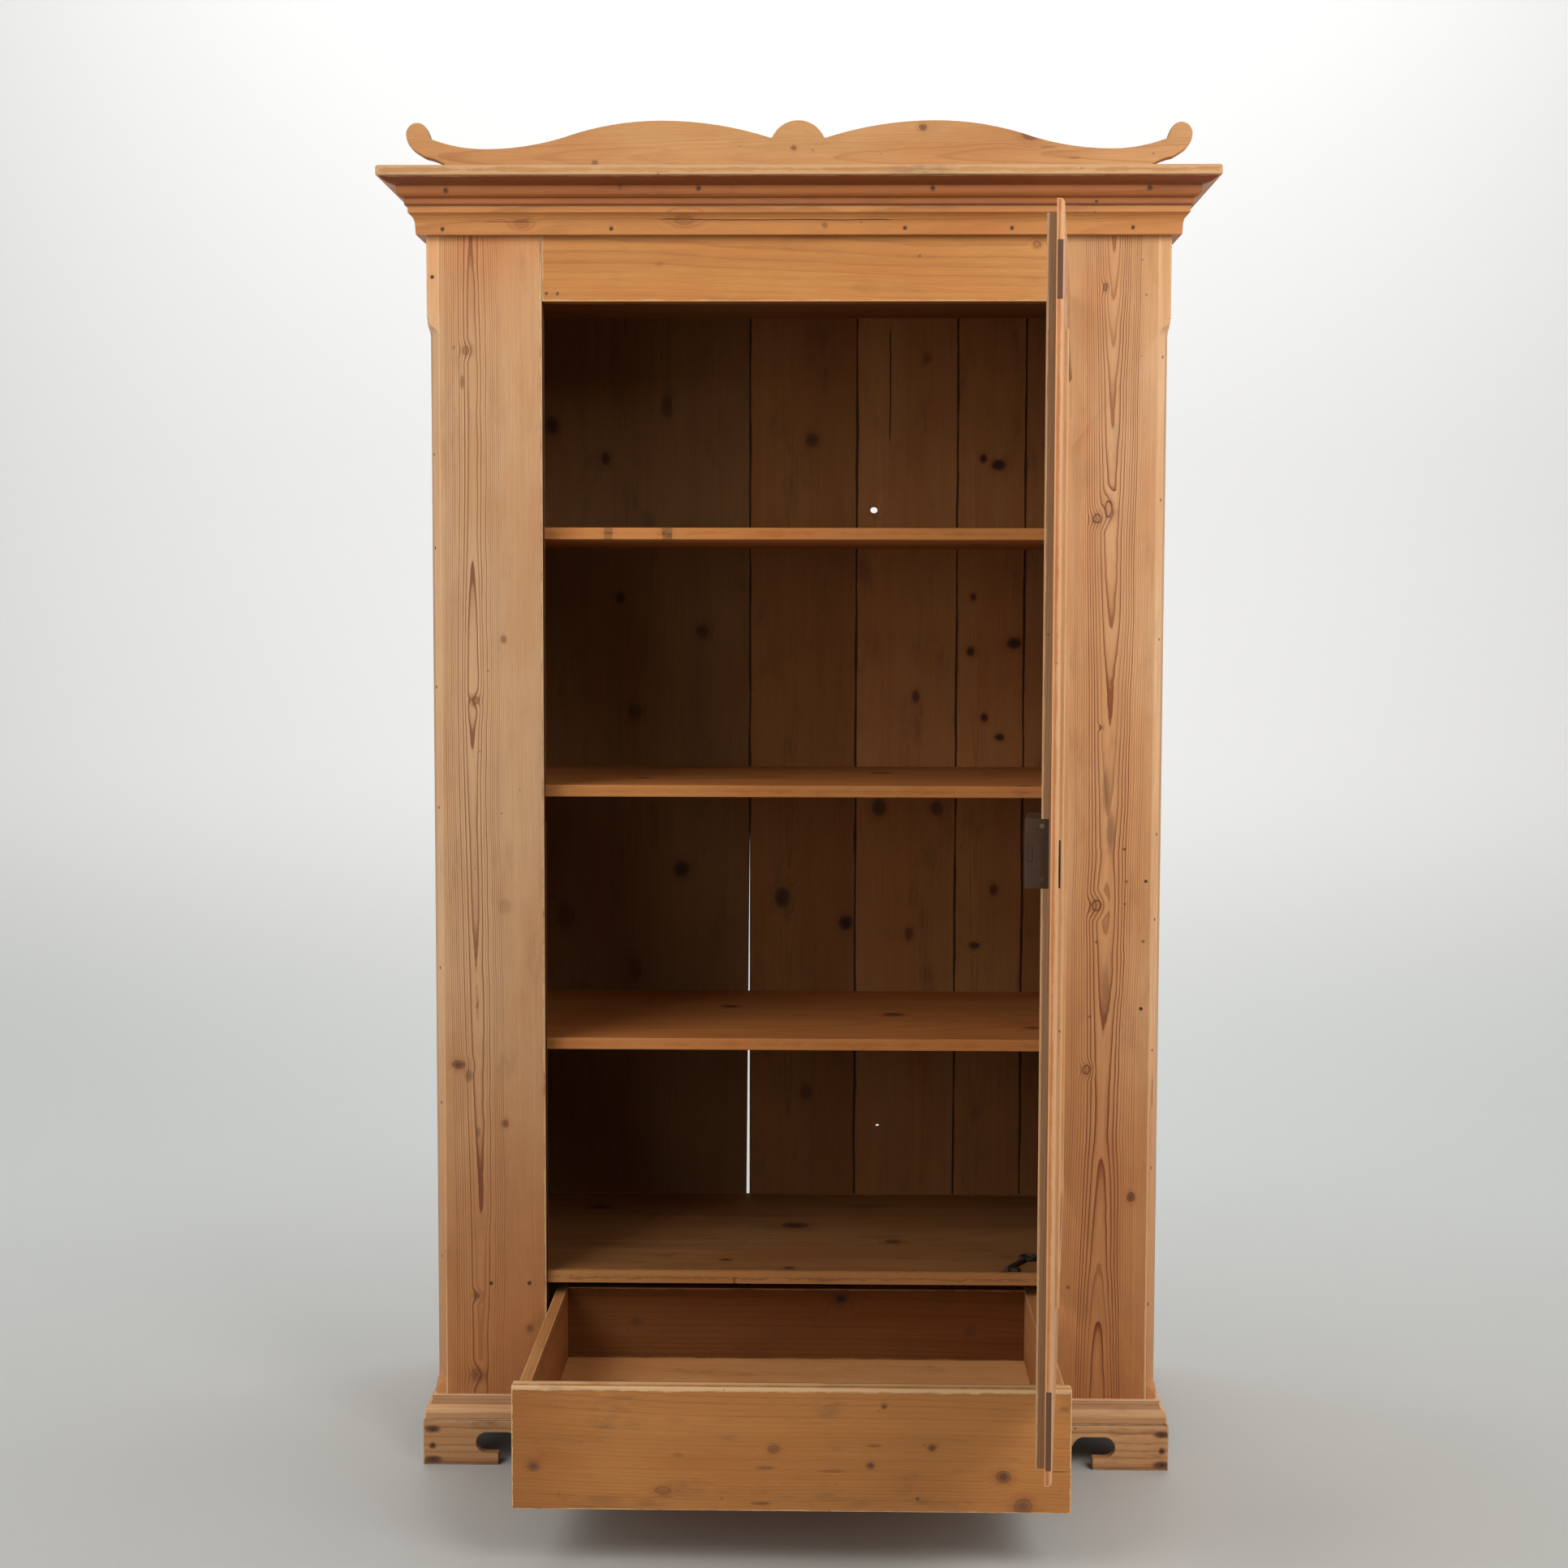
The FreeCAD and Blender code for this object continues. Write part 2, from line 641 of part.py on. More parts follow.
def panel_moulding(half_length, half_across, turn):
    """One length along the lower edge of a panel about its centre, turned into place."""
    low = -half_across
    bar = outline(moulding_steps, lambda w, h: V(-half_length, panel_front_y - h, low + w))
    bar = bar.extrude(V(half_length * 2, 0, 0))
    plan = [(-half_length, low), (half_length, low),
            (half_length - moulding_width, low + moulding_width),
            (-half_length + moulding_width, low + moulding_width)]
    prism = outline(plan, lambda x, z: V(x, panel_front_y - moulding_height, z))
    bar = bar.common(prism.extrude(V(0, moulding_height, 0)))
    bar.rotate(ORIGIN, Y_AXIS, turn)
    bar.translate(V(0, 0, panel_middle_z))
    return bar


quarter_turn = 90.0
panel_mouldings = Part.makeCompound([
    panel_moulding(panel_half, panel_half_height, 0),
    panel_moulding(panel_half, panel_half_height, quarter_turn * 2),
    panel_moulding(panel_half_height, panel_half, quarter_turn),
    panel_moulding(panel_half_height, panel_half, -quarter_turn),
])

# Lock: an iron case on the inner face of the lock stile, with a forend let into its edge.
# The bolt slides out behind the carcase stile, where a keeper plate is let in.
lock_length = 80.0
lock_height = 73.0
lock_thick = 17.5
lock_round = 3.0
lock_middle_z = 904.5
forend_thick = 2.0
forend_reach = 8.0
bolt_length = 55.0
bolt_height = 16.0
bolt_thick = 5.0
bolt_play = 0.3
keeper_let_in = 7.5
keeper_thick = 1.5
keeper_gap = 0.6
keeper_width = 24.0
keeper_height = 60.0
keyhole_inset = 32.0
keyhole_drop = 14.0
keyhole_radius = 4.0
keyhole_slot = 3.6
keyhole_length = 15.0
keyhole_in_lock = 14.0

lock_edge_x = -rebate_half
lock_case = block(lock_edge_x, lock_edge_x + lock_length, door_back_y, door_back_y + lock_thick,
                  lock_middle_z - lock_height / 2, lock_middle_z + lock_height / 2)
case_edges = [edge for edge in lock_case.Edges
              if edge.BoundBox.YMin > door_back_y + lock_thick / 2]
lock_case = lock_case.makeFillet(lock_round, case_edges)
forend = block(lock_edge_x, lock_edge_x + forend_thick, door_back_y - forend_reach, door_back_y,
               lock_middle_z - lock_height / 2, lock_middle_z + lock_height / 2)
lock_case = lock_case.fuse(forend).removeSplitter()
keeper_y = stile_thick - keeper_let_in
bolt_y = keeper_y + keeper_thick + keeper_gap
bolt_low_z = lock_middle_z - bolt_height / 2
lock_bolt = block(lock_edge_x, lock_edge_x + bolt_length, bolt_y, bolt_y + bolt_thick,
                  bolt_low_z, bolt_low_z + bolt_height)
bolt_room = block(lock_edge_x - overrun, lock_edge_x + bolt_length + bolt_play,
                  bolt_y - bolt_play, bolt_y + bolt_thick + bolt_play,
                  bolt_low_z - bolt_play, bolt_low_z + bolt_height + bolt_play)
keyhole_x = lock_edge_x + keyhole_inset
keyhole_z = lock_middle_z - keyhole_drop


def keyhole(y0, y1):
    """A round hole with a slot below it, cut along Y."""
    slot_in_circle = math.sqrt(keyhole_radius ** 2 - (keyhole_slot / 2) ** 2)
    low_z = keyhole_z - keyhole_length + keyhole_radius
    steps = [
        (keyhole_x - keyhole_slot / 2, low_z),
        (keyhole_x + keyhole_slot / 2, low_z),
        (keyhole_x + keyhole_slot / 2, keyhole_z - slot_in_circle),
    ]
    slot = outline(steps + [(keyhole_x - keyhole_slot / 2, keyhole_z - slot_in_circle)],
                   lambda x, z: V(x, y0, z)).extrude(V(0, y1 - y0, 0))
    eye = Part.makeCylinder(keyhole_radius, y1 - y0, V(keyhole_x, y0, keyhole_z), Y_AXIS)
    return slot.fuse(eye).removeSplitter()


lock_case = lock_case.cut(bolt_room).cut(keyhole(door_back_y, door_back_y + keyhole_in_lock))
lock_stile = lock_stile.cut(keyhole(door_front_y - overrun, door_back_y + overrun)).cut(forend)
keeper_low_z = lock_middle_z - keeper_height / 2
keeper_room = block(-open_half, -open_half - keeper_width, keeper_y, stile_thick,
                    keeper_low_z, keeper_low_z + keeper_height)
pieces["left_stile"] = left_stile.cut(keeper_room)
pieces["keeper_plate"] = block(-open_half, -open_half - keeper_width, keeper_y,
                               keeper_y + keeper_thick, keeper_low_z,
                               keeper_low_z + keeper_height)

# Escutcheon: a shaped iron plate round the keyhole on the outer face.
plate_width = 28.0
plate_height = 51.0
plate_thick = 2.0
plate_shares = [
    (0, 0.5, 0.16),
    (0.5, 0.12, 0.16),
    (0.30, -0.24, 0.12),
    (0, -0.5, -0.14),
    (-0.30, -0.24, -0.14),
    (-0.5, 0.12, 0.12),
]
plate_steps = scaled(plate_shares, plate_width, plate_height)
escutcheon = outline(plate_steps, lambda x, z: V(keyhole_x + x, door_front_y - plate_thick,
                                                 keyhole_z + z))
escutcheon = escutcheon.extrude(V(0, plate_thick, 0))
escutcheon = escutcheon.cut(keyhole(door_front_y - plate_thick - overrun, door_front_y))

# Hinges: two lift-off pairs at the lip's edge. The lower half has the pin and a leaf
# driven into the carcase stile, and the upper half turns on it with a leaf in the lip.
hinge_radius = 3.8
hinge_clear = 0.5
hinge_half_height = 38.0
hinge_tip = 1.2
pin_radius = 2.0
pin_play = 0.05
pin_height = 30.0
pin_end_gap = 1.0
leaf_thick = 2.0
leaf_height = 30.0
leaf_length = 22.0
hinge_lift = 0.3
lower_hinge_z = 390.0
upper_hinge_z = 1330.0

hinge_x = lip_half + hinge_clear + hinge_radius
hinge_y = -hinge_clear - hinge_radius
frame_halves = []
door_halves = []
for low_z in (lower_hinge_z, upper_hinge_z):
    middle_z = low_z + hinge_half_height
    leaf_inset = (hinge_half_height - leaf_height) / 2
    lower = Part.makeCylinder(hinge_radius, hinge_half_height, V(hinge_x, hinge_y, low_z))
    lower = lower.makeChamfer(hinge_tip, [lower.Edges[2]])
    pin = Part.makeCylinder(pin_radius, pin_height + pin_radius,
                            V(hinge_x, hinge_y, middle_z - pin_radius))
    frame_leaf = block(hinge_x - leaf_thick / 2, hinge_x + leaf_thick / 2, hinge_y,
                       leaf_length - hinge_radius, low_z + leaf_inset,
                       low_z + leaf_inset + leaf_height)
    frame_halves.append(lower.fuse(pin).fuse(frame_leaf).removeSplitter())
    right_stile = right_stile.cut(frame_leaf)
    upper_z = middle_z + hinge_lift
    upper = Part.makeCylinder(hinge_radius, hinge_half_height, V(hinge_x, hinge_y, upper_z))
    upper = upper.makeChamfer(hinge_tip, [upper.Edges[0]])
    bore = Part.makeCylinder(pin_radius + pin_play, pin_height + pin_end_gap,
                             V(hinge_x, hinge_y, upper_z - hinge_lift))
    door_leaf = block(lip_half - leaf_length + hinge_radius, hinge_x, hinge_y - leaf_thick / 2,
                      hinge_y + leaf_thick / 2, upper_z + leaf_inset,
                      upper_z + leaf_inset + leaf_height)
    door_halves.append(upper.fuse(door_leaf).removeSplitter().cut(bore))
    hinge_stile = hinge_stile.cut(door_leaf)
pieces["right_stile"] = right_stile
pieces["lower_hinge_frame_half"] = frame_halves[0]
pieces["upper_hinge_frame_half"] = frame_halves[1]

door_pieces = {
    "door_lock_stile": lock_stile,
    "door_hinge_stile": hinge_stile,
    "door_top_rail": top_rail,
    "door_bottom_rail": bottom_rail,
    "door_panel": panel,
    "door_panel_moulding": panel_mouldings,
    "lock_case": lock_case,
    "lock_bolt": lock_bolt,
    "escutcheon": escutcheon,
    "lower_hinge_door_half": door_halves[0],
    "upper_hinge_door_half": door_halves[1],
}
for name, shape in door_pieces.items():
    shape.rotate(V(hinge_x, hinge_y, 0), Z_AXIS, door_open_angle)
    pieces[name] = shape

# Key: an iron key left lying on the bottom board, its ring towards the back corner.
# The ring is a flat one with its edges filed off, and the shank reaches into it.
key_shank_radius = 3.2
key_shank_length = 62.0
key_ring_radius = 13.0
key_ring_hole = 8.0
key_ring_thick = 5.0
key_ring_chamfer = 1.3
key_bit_reach = 12.0
key_bit_width = 9.0
key_bit_thick = 3.0
key_bit_tip = 3.0
key_x_share = 0.85
key_y_share = 0.052
key_turn = 60.5

shank = Part.makeCylinder(key_shank_radius, key_shank_length, V(0, 0, key_shank_radius), X_AXIS)
ring_low = V(key_shank_length + key_ring_hole, 0, key_shank_radius - key_ring_thick / 2)
ring = Part.makeCylinder(key_ring_radius, key_ring_thick, ring_low)
ring = ring.cut(Part.makeCylinder(key_ring_hole, key_ring_thick, ring_low))
ring = ring.makeChamfer(key_ring_chamfer, [edge for edge in ring.Edges if len(edge.Vertexes) == 1])
bit = block(key_bit_tip, key_bit_tip + key_bit_width, -key_shank_radius - key_bit_reach, 0,
            key_shank_radius - key_bit_thick / 2, key_shank_radius + key_bit_thick / 2)
key = shank.fuse([ring, bit]).removeSplitter()
key.rotate(ORIGIN, Z_AXIS, key_turn)
key.translate(V(open_half * key_x_share, inside_depth * key_y_share, bottom_top_z))
pieces["key"] = key

# Write every piece, with the origin on the floor under the middle of the whole.
front_y = min(shape.BoundBox.YMin for shape in pieces.values())
back_y = max(shape.BoundBox.YMax for shape in pieces.values())
centre_y = (front_y + back_y) / 2
os.makedirs("parts", exist_ok=True)
for name, shape in pieces.items():
    shape.translate(V(0, -centre_y, 0))
    shape.exportStep("parts/" + name + ".step")
print("centre_y", round(centre_y, 4), "nodes", len(pieces))
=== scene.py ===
import json
import math
from functools import reduce

import bmesh
import bpy
from mathutils import Matrix, Vector
from mathutils.bvhtree import BVHTree


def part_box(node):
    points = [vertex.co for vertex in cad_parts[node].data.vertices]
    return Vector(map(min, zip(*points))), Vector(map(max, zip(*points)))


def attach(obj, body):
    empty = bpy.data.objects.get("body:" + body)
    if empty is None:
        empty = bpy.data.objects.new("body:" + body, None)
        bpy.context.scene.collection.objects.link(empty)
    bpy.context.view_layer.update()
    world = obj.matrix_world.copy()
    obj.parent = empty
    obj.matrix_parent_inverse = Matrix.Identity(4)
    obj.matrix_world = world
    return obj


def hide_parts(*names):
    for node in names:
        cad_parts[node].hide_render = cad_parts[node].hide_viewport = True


# A waxed pine wardrobe with its door and drawer open. Everything is in metres, X runs across
# the front, Y runs back and Z is up from the floor.
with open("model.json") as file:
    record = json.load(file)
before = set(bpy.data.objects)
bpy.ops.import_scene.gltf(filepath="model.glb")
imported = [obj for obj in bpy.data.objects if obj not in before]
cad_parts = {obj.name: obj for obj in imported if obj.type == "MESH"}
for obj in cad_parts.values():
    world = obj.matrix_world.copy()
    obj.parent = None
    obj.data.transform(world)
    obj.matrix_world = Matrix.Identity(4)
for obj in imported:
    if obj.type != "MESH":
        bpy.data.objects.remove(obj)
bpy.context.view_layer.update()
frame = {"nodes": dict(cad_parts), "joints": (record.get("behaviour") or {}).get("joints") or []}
scene = bpy.context.scene
scene.view_settings.view_transform = "Standard"

# Camera: it stands about three metres in front, at chest height, tips down a little and looks
# a touch to the left.
camera_place = (0.0402, -3.0234, 1.1486)
camera_tip = math.radians(90.0 - 4.013)
camera_turn = math.radians(1.04)
camera_roll = math.radians(0.124)
camera_lens = 54.14
camera_film = 36.0

camera_data = bpy.data.cameras.new("camera")
camera_data.lens = camera_lens
camera_data.sensor_width = camera_film
camera_data.clip_end = 60.0
camera = bpy.data.objects.new("camera", camera_data)
camera.matrix_world = (
    Matrix.Translation(camera_place)
    @ Matrix.Rotation(camera_turn, 4, "Z")
    @ Matrix.Rotation(camera_tip, 4, "X")
    @ Matrix.Rotation(camera_roll, 4, "Z")
)
scene.collection.objects.link(camera)
scene.camera = camera


# Finishes: the wax, bare wood, iron and paint below are all sets of shader nodes. A Signal is
# one node's output, which is added and multiplied as if it were a number.
class Signal:
    """A shader output that sums, products and quotients can use like a number."""

    def __init__(self, finish, socket):
        self.finish = finish
        self.socket = socket

    def maths(self, operation, *others):
        terms = dict(enumerate((self,) + others))
        return self.finish.node("ShaderNodeMath", {"operation": operation}, terms)

    def __add__(self, other):
        return self.maths("ADD", other)

    def __sub__(self, other):
        return self.maths("SUBTRACT", other)

    def __rsub__(self, other):
        return self.finish.node("ShaderNodeMath", {"operation": "SUBTRACT"}, {0: other, 1: self})

    def __mul__(self, other):
        return self.maths("MULTIPLY", other)

    def __truediv__(self, other):
        return self.maths("DIVIDE", other)

    def __abs__(self):
        return self.maths("ABSOLUTE")

    __radd__ = __add__
    __rmul__ = __mul__

    def least(self, other):
        return self.maths("MINIMUM", other)

    def most(self, other):
        return self.maths("MAXIMUM", other)

    def fade(self, start, end, low=0.0, high=1.0):
        """Runs smoothly from low at start to high at end."""
        places = {"Value": self, "From Min": start, "From Max": end, "To Min": low, "To Max": high}
        return self.finish.node("ShaderNodeMapRange", {"interpolation_type": "SMOOTHSTEP"}, places)


class Finish:
    """A material, and the one way in which its nodes are made."""

    def __init__(self, name):
        self.material = bpy.data.materials.new(name)
        self.material.use_nodes = True
        self.tree = self.material.node_tree
        self.shader = self.tree.nodes["Principled BSDF"]

    def node(self, kind, settings=None, sockets=None, output=0):
        made = self.tree.nodes.new(kind)
        for name, value in (settings or {}).items():
            if name == "stops":
                self.set_stops(made.color_ramp, value)
            elif name == "curve":
                made.color_ramp.interpolation = value
            else:
                setattr(made, name, value)
        for key, value in (sockets or {}).items():
            self.feed(made.inputs[key], value)
        return Signal(self, made.outputs[output])

    def feed(self, socket, value):
        if isinstance(value, Signal):
            self.tree.links.new(value.socket, socket)
        else:
            socket.default_value = value

    def set_stops(self, ramp, stops):
        while len(ramp.elements) < len(stops):
            ramp.elements.new(1.0)
        for element, (place, colour) in zip(ramp.elements, stops):
            element.position = place
            element.color = (*colour, 1.0) if isinstance(colour, tuple) else (colour,) * 3 + (1.0,)

    def moved(self, place, stretch, step):
        return self.node("ShaderNodeVectorMath", {"operation": "MULTIPLY_ADD"},
                         {0: place, 1: stretch, 2: step})

    def noise(self, place, stretch, detail=2.0, roughness=0.5, shift=0.0):
        """Noise from 0 to 1 about 0.5, with its own scale along each way of the place."""
        moved = self.moved(place, stretch, (shift, shift * 0.7, shift * 1.3))
        return self.node("ShaderNodeTexNoise", None, {"Vector": moved, "Scale": 1.0,
                                                      "Detail": detail, "Roughness": roughness})

    def through_points(self, signal, points):
        """A smooth curve through points, each a place on the signal and a value there."""
        places, values = zip(*sorted(points))
        span, low, rise = places[-1] - places[0], min(values), max(values) - min(values)
        stops = [((place - places[0]) / span, (value - low) / rise)
                 for place, value in zip(places, values)]
        share = (signal - places[0]) / span
        ramp = self.node("ShaderNodeValToRGB", {"stops": stops, "curve": "CARDINAL"},
                         {"Fac": share})
        return ramp * rise + low

    def split(self, vector):
        parts = self.node("ShaderNodeSeparateXYZ", None, {"Vector": vector}).socket.node.outputs
        return [Signal(self, part) for part in parts]

    def joined(self, *parts):
        return self.node("ShaderNodeCombineXYZ", None, dict(enumerate(parts)))

    def length(self, vector):
        return self.node("ShaderNodeVectorMath", {"operation": "LENGTH"}, {0: vector}, "Value")

    def mixed(self, share, first, second, way="MIX"):
        """A colour between two colours, or the first one multiplied by the second."""
        colours = {0: share}
        for key, colour in ((6, first), (7, second)):
            colours[key] = (*colour, 1.0) if isinstance(colour, tuple) else colour
        return self.node("ShaderNodeMix", {"data_type": "RGBA", "blend_type": way}, colours, 2)

    def tinted(self, share, colour, tint):
        """A colour that is multiplied by a tint as far as share says."""
        return self.mixed(share, colour, self.mixed(1.0, colour, tint, "MULTIPLY"))

    def surface(self, colour, roughness, height=None, depth=0.001):
        self.feed(self.shader.inputs["Base Color"], colour)
        self.feed(self.shader.inputs["Roughness"], roughness)
        if height is not None:
            bump = self.node("ShaderNodeBump", None, {"Height": height, "Strength": 1.0,
                                                      "Distance": depth})
            self.feed(self.shader.inputs["Normal"], bump)
        return self.material


# Room: a plain pale floor that curves up into a plain backdrop, under a faint even sky. The floor
# grows paler towards the backdrop: painted light. Two soft lamps hang in front like windows, and
# weaker ones stand aside.
floor_colour = (0.5, 0.51, 0.498)
floor_cloud_share = 0.95
far_floor_painted_light = (0.7, 0.725, 0.71)
backdrop_colour = (0.9, 0.9, 0.9)
floor_half = 7.0
floor_front = -6.0
floor_back = 3.6
sweep_radius = 1.6
sweep_top = 6.0
sweep_steps = 16

profile = [(floor_front, 0.0), (floor_back - sweep_radius, 0.0)]
for step in range(1, sweep_steps + 1):
    turn = math.pi / 2 * step / sweep_steps
    profile.append((floor_back - sweep_radius + sweep_radius * math.sin(turn),
                    sweep_radius - sweep_radius * math.cos(turn)))
profile.append((floor_back, sweep_top))
sweep_mesh = bpy.data.meshes.new("floor")
sweep_points = [(side, y, z) for y, z in profile for side in (-floor_half, floor_half)]
sweep_faces = [(2 * i, 2 * i + 1, 2 * i + 3, 2 * i + 2) for i in range(len(profile) - 1)]
sweep_mesh.from_pydata(sweep_points, [], sweep_faces)
for polygon in sweep_mesh.polygons:
    polygon.use_smooth = True
floor = bpy.data.objects.new("floor", sweep_mesh)
scene.collection.objects.link(floor)
floor_finish = Finish("floor paint")
floor_place = floor_finish.node("ShaderNodeTexCoord", output="Object")
floor_cloud = floor_finish.noise(floor_place, (1.4, 1.4, 1.4), 4.0, 0.55)
floor_tone = floor_finish.mixed(floor_cloud.fade(0.3, 0.7), floor_colour,
                                tuple(part * floor_cloud_share for part in floor_colour))
_, floor_depth, floor_height = floor_finish.split(floor_place)
# Painted light: the floor grows paler towards the back.
floor_tone = floor_finish.mixed(floor_depth.fade(-0.4, 2.2), floor_tone, far_floor_painted_light)
floor_tone = floor_finish.mixed(floor_height.fade(0.0, 0.8), floor_tone, backdrop_colour)
sweep_mesh.materials.append(floor_finish.surface(floor_tone, roughness=0.6))

sky_colour = (0.95, 0.97, 1.0, 1.0)
sky_strength = 0.17
world = bpy.data.worlds.new("world")
world.use_nodes = True
sky = world.node_tree.nodes["Background"]
sky.inputs["Color"].default_value = sky_colour
sky.inputs["Strength"].default_value = sky_strength
scene.world = world

for name, place, aim, width, height, power, colour in (
        ("left window", (-2.3, -2.1, 3.0), (0.0, 0.0, 1.4), 2.2, 1.8, 58.0, (1.0, 0.98, 0.94)),
        ("right window", (1.9, -2.1, 2.7), (0.2, 0.0, 1.3), 2.2, 1.8, 74.0, (1.0, 0.98, 0.94)),
        ("left low window", (-1.7, -3.5, 1.5), (0.2, 0.3, 1.0), 1.6, 1.4, 19.0, (1.0, 0.99, 0.96)),
        ("left wall", (-3.6, -0.5, 1.5), (0.0, 0.2, 1.0), 2.0, 2.4, 20.0, (1.0, 1.0, 1.0)),
        ("right wall", (3.6, -0.5, 1.5), (0.0, 0.2, 1.0), 2.0, 2.4, 26.0, (1.0, 1.0, 1.0)),
        ("backdrop lamp", (0.0, 1.6, 4.2), (0.0, 3.6, 1.6), 5.0, 0.8, 70.0, (1.0, 1.0, 1.0))):
    lamp_data = bpy.data.lights.new(name, "AREA")
    lamp_data.shape = "RECTANGLE"
    lamp_data.size = width
    lamp_data.size_y = height
    lamp_data.energy = power
    lamp_data.color = colour
    lamp = bpy.data.objects.new(name, lamp_data)
    way = (Vector(aim) - Vector(place)).to_track_quat("-Z", "Y").to_matrix().to_4x4()
    lamp.matrix_world = Matrix.Translation(place) @ way
    scene.collection.objects.link(lamp)


# Front boards: two wide pine stiles and a lintel between them, planed and waxed, which nails
# hold to the sides. The arrises are worn round, and the grain is drawn as the rings of a log.
def own_frame(node, turn=0.0, pivot=(0.0, 0.0, 0.0)):
    """The lowest and highest corner of a node once it is turned back about an upright line."""
    back = Matrix.Translation(pivot) @ Matrix.Rotation(-turn, 4, "Z")
    back = back @ Matrix.Translation(-Vector(pivot))
    points = [back @ vertex.co for vertex in frame["nodes"][node].data.vertices]
    low = Vector([min(point[axis] for point in points) for axis in range(3)])
    high = Vector([max(point[axis] for point in points) for axis in range(3)])
    return low, high


grain_depth = 0.0006
weld_reach = 0.00002
flat_angle = math.radians(0.05)
worn_angle = math.radians(30.0)
shaded_angle = math.radians(20.0)
honey = {
    "early": (0.6, 0.3, 0.12),
    "late": (0.36, 0.135, 0.038),
    "worn": (0.7, 0.43, 0.22),
    "knot": (0.34, 0.125, 0.042),
    "core": (0.085, 0.032, 0.014),
    "halo": (0.62, 0.46, 0.34),
    "soil": (0.1, 0.055, 0.03),
    "roughness": 0.44,
    "gloss": 0.38,
}


def pine(node, ways, look, heart, ring=0.0025, lean=0.0, bow=None, sway=0.004, bend=0.8,
         lines=0.9, calm=(0.028, 0.06, 0.3), knots=(), stains=(), cracks=(), arrises=(),
         wear=0.0025, worn=0.6, soil=0.5, turn=0.0, pivot=(0.0, 0.0, 0.0), shift=0.0, tints=(),
         end_dark=0.55, dents=0.5, rims=0.4, soft=0.1):
    """Pine sawn from a log whose heart lies at heart, given across and through the board.
    ways names the axes along, across and through the board, such as ZXY. The heart leans, or
    follows bow, which gives how much further back it lies at places along the board, in rings.
    lines is how strongly the rings show, and calm is where they fade beside the heart, and to
    what share. A knot or a stain is its place along and across, its radius, its darkness and how
    much longer than wide it is. bend is how far a knot pushes the rings aside, rims how dark its
    rim is and soft how blurred its outline. A crack has its start and end along the board, its
    place across and its width. An arris is a line along the board at a place across and through
    it, worn pale within its reach, and wear and worn are the reach and paleness of all other
    edges. A tint runs from one place to another on one of the three ways."""
    finish = Finish(node + " pine")
    place = finish.node("ShaderNodeTexCoord", output="Object")
    if turn:
        unturned = Matrix.Rotation(-turn, 3, "Z") @ Vector(pivot)
        place = finish.node("ShaderNodeMapping", None, {
            "Vector": place, "Rotation": (0.0, 0.0, -turn), "Location": Vector(pivot) - unturned})
    split = finish.split(place)
    order = ["XYZ".index(letter) for letter in ways]
    along, across, through = (split[index] for index in order)
    grain_place = finish.joined(along, across, through)
    ripple = finish.noise(grain_place, (9.0, 20.0, 20.0), 2.0, 0.55, shift + 5.0) - 0.5
    wobble = finish.noise(grain_place, (110.0, 110.0, 110.0), 2.0, 0.6, shift) - 0.5
    flat_place = finish.joined(along + wobble * 0.004, across + wobble * 0.003 + ripple * 0.004)

    def away_from(mark_along, mark_across, radius, length):
        """How many radii a point lies from a mark that is longer along the board."""
        scale = (1.0 / (radius * length), 1.0 / radius, 0.0)
        back = (-mark_along * scale[0], -mark_across * scale[1], 0.0)
        return finish.length(finish.moved(flat_place, scale, back))

    # Knots: each has a dark rim and core and its own rings, and pushes the grain aside.
    knot_aways, knot_darks, pushes, stain_darks, crack_darks = [], [], [], [], []
    for mark_along, mark_across, radius, darkness, *length in knots:
        away = away_from(mark_along, mark_across, radius, length[0] if length else 1.2)
        knot_aways.append(away)
        knot_darks.append(away.fade(1.0 + soft, 1.0 - soft, 0.0, darkness))
        pushes.append(away.fade(3.4, 0.0, 0.0, radius))
    for mark_along, mark_across, radius, darkness, *length in stains:
        away = away_from(mark_along, mark_across, radius, length[0] if length else 1.0)
        stain_darks.append(away.fade(1.5, 0.5, 0.0, darkness))

    # Rings: how far a point lies from the heart, counted in years' growth.
    drift = finish.noise(grain_place, (1.6, 0.6, 0.6), 0.0, 0.5, shift + 3.0) - 0.5
    depth = along * -lean if bow is None else finish.through_points(along, bow) * ring
    heart_across = across - heart[0] + drift * 0.016 + ripple * 0.004
    heart_through = through - heart[1] - depth + drift * sway
    reach = finish.length(finish.joined(heart_across, heart_through))
    reach = reach + ripple * (ring * 0.8) + wobble * (ring * 0.12)
    if pushes:
        reach = reach + sum(pushes[1:], pushes[0]) * bend
    year = reach / ring
    year_number = year.maths("FLOOR")
    year_share = year - year_number
    strength = finish.node("ShaderNodeTexWhiteNoise", {"noise_dimensions": "1D"},
                           {"W": year_number + shift}) * 0.75 + 0.25
    line = finish.node("ShaderNodeValToRGB", {"stops": [
        (0.0, 0.35), (0.07, 0.0), (0.45, 0.03), (0.72, 0.28), (0.88, 0.95), (0.96, 1.0)]},
        {"Fac": year_share})
    line = line * strength
    faint = finish.noise(grain_place, (1.1, 14.0, 14.0), 2.0, 0.5, shift + 9.0).fade(0.32, 0.62)
    line = line * (faint * 0.35 + 0.65) * lines
    line = line * abs(heart_across).fade(calm[0], calm[1], 1.0, calm[2])

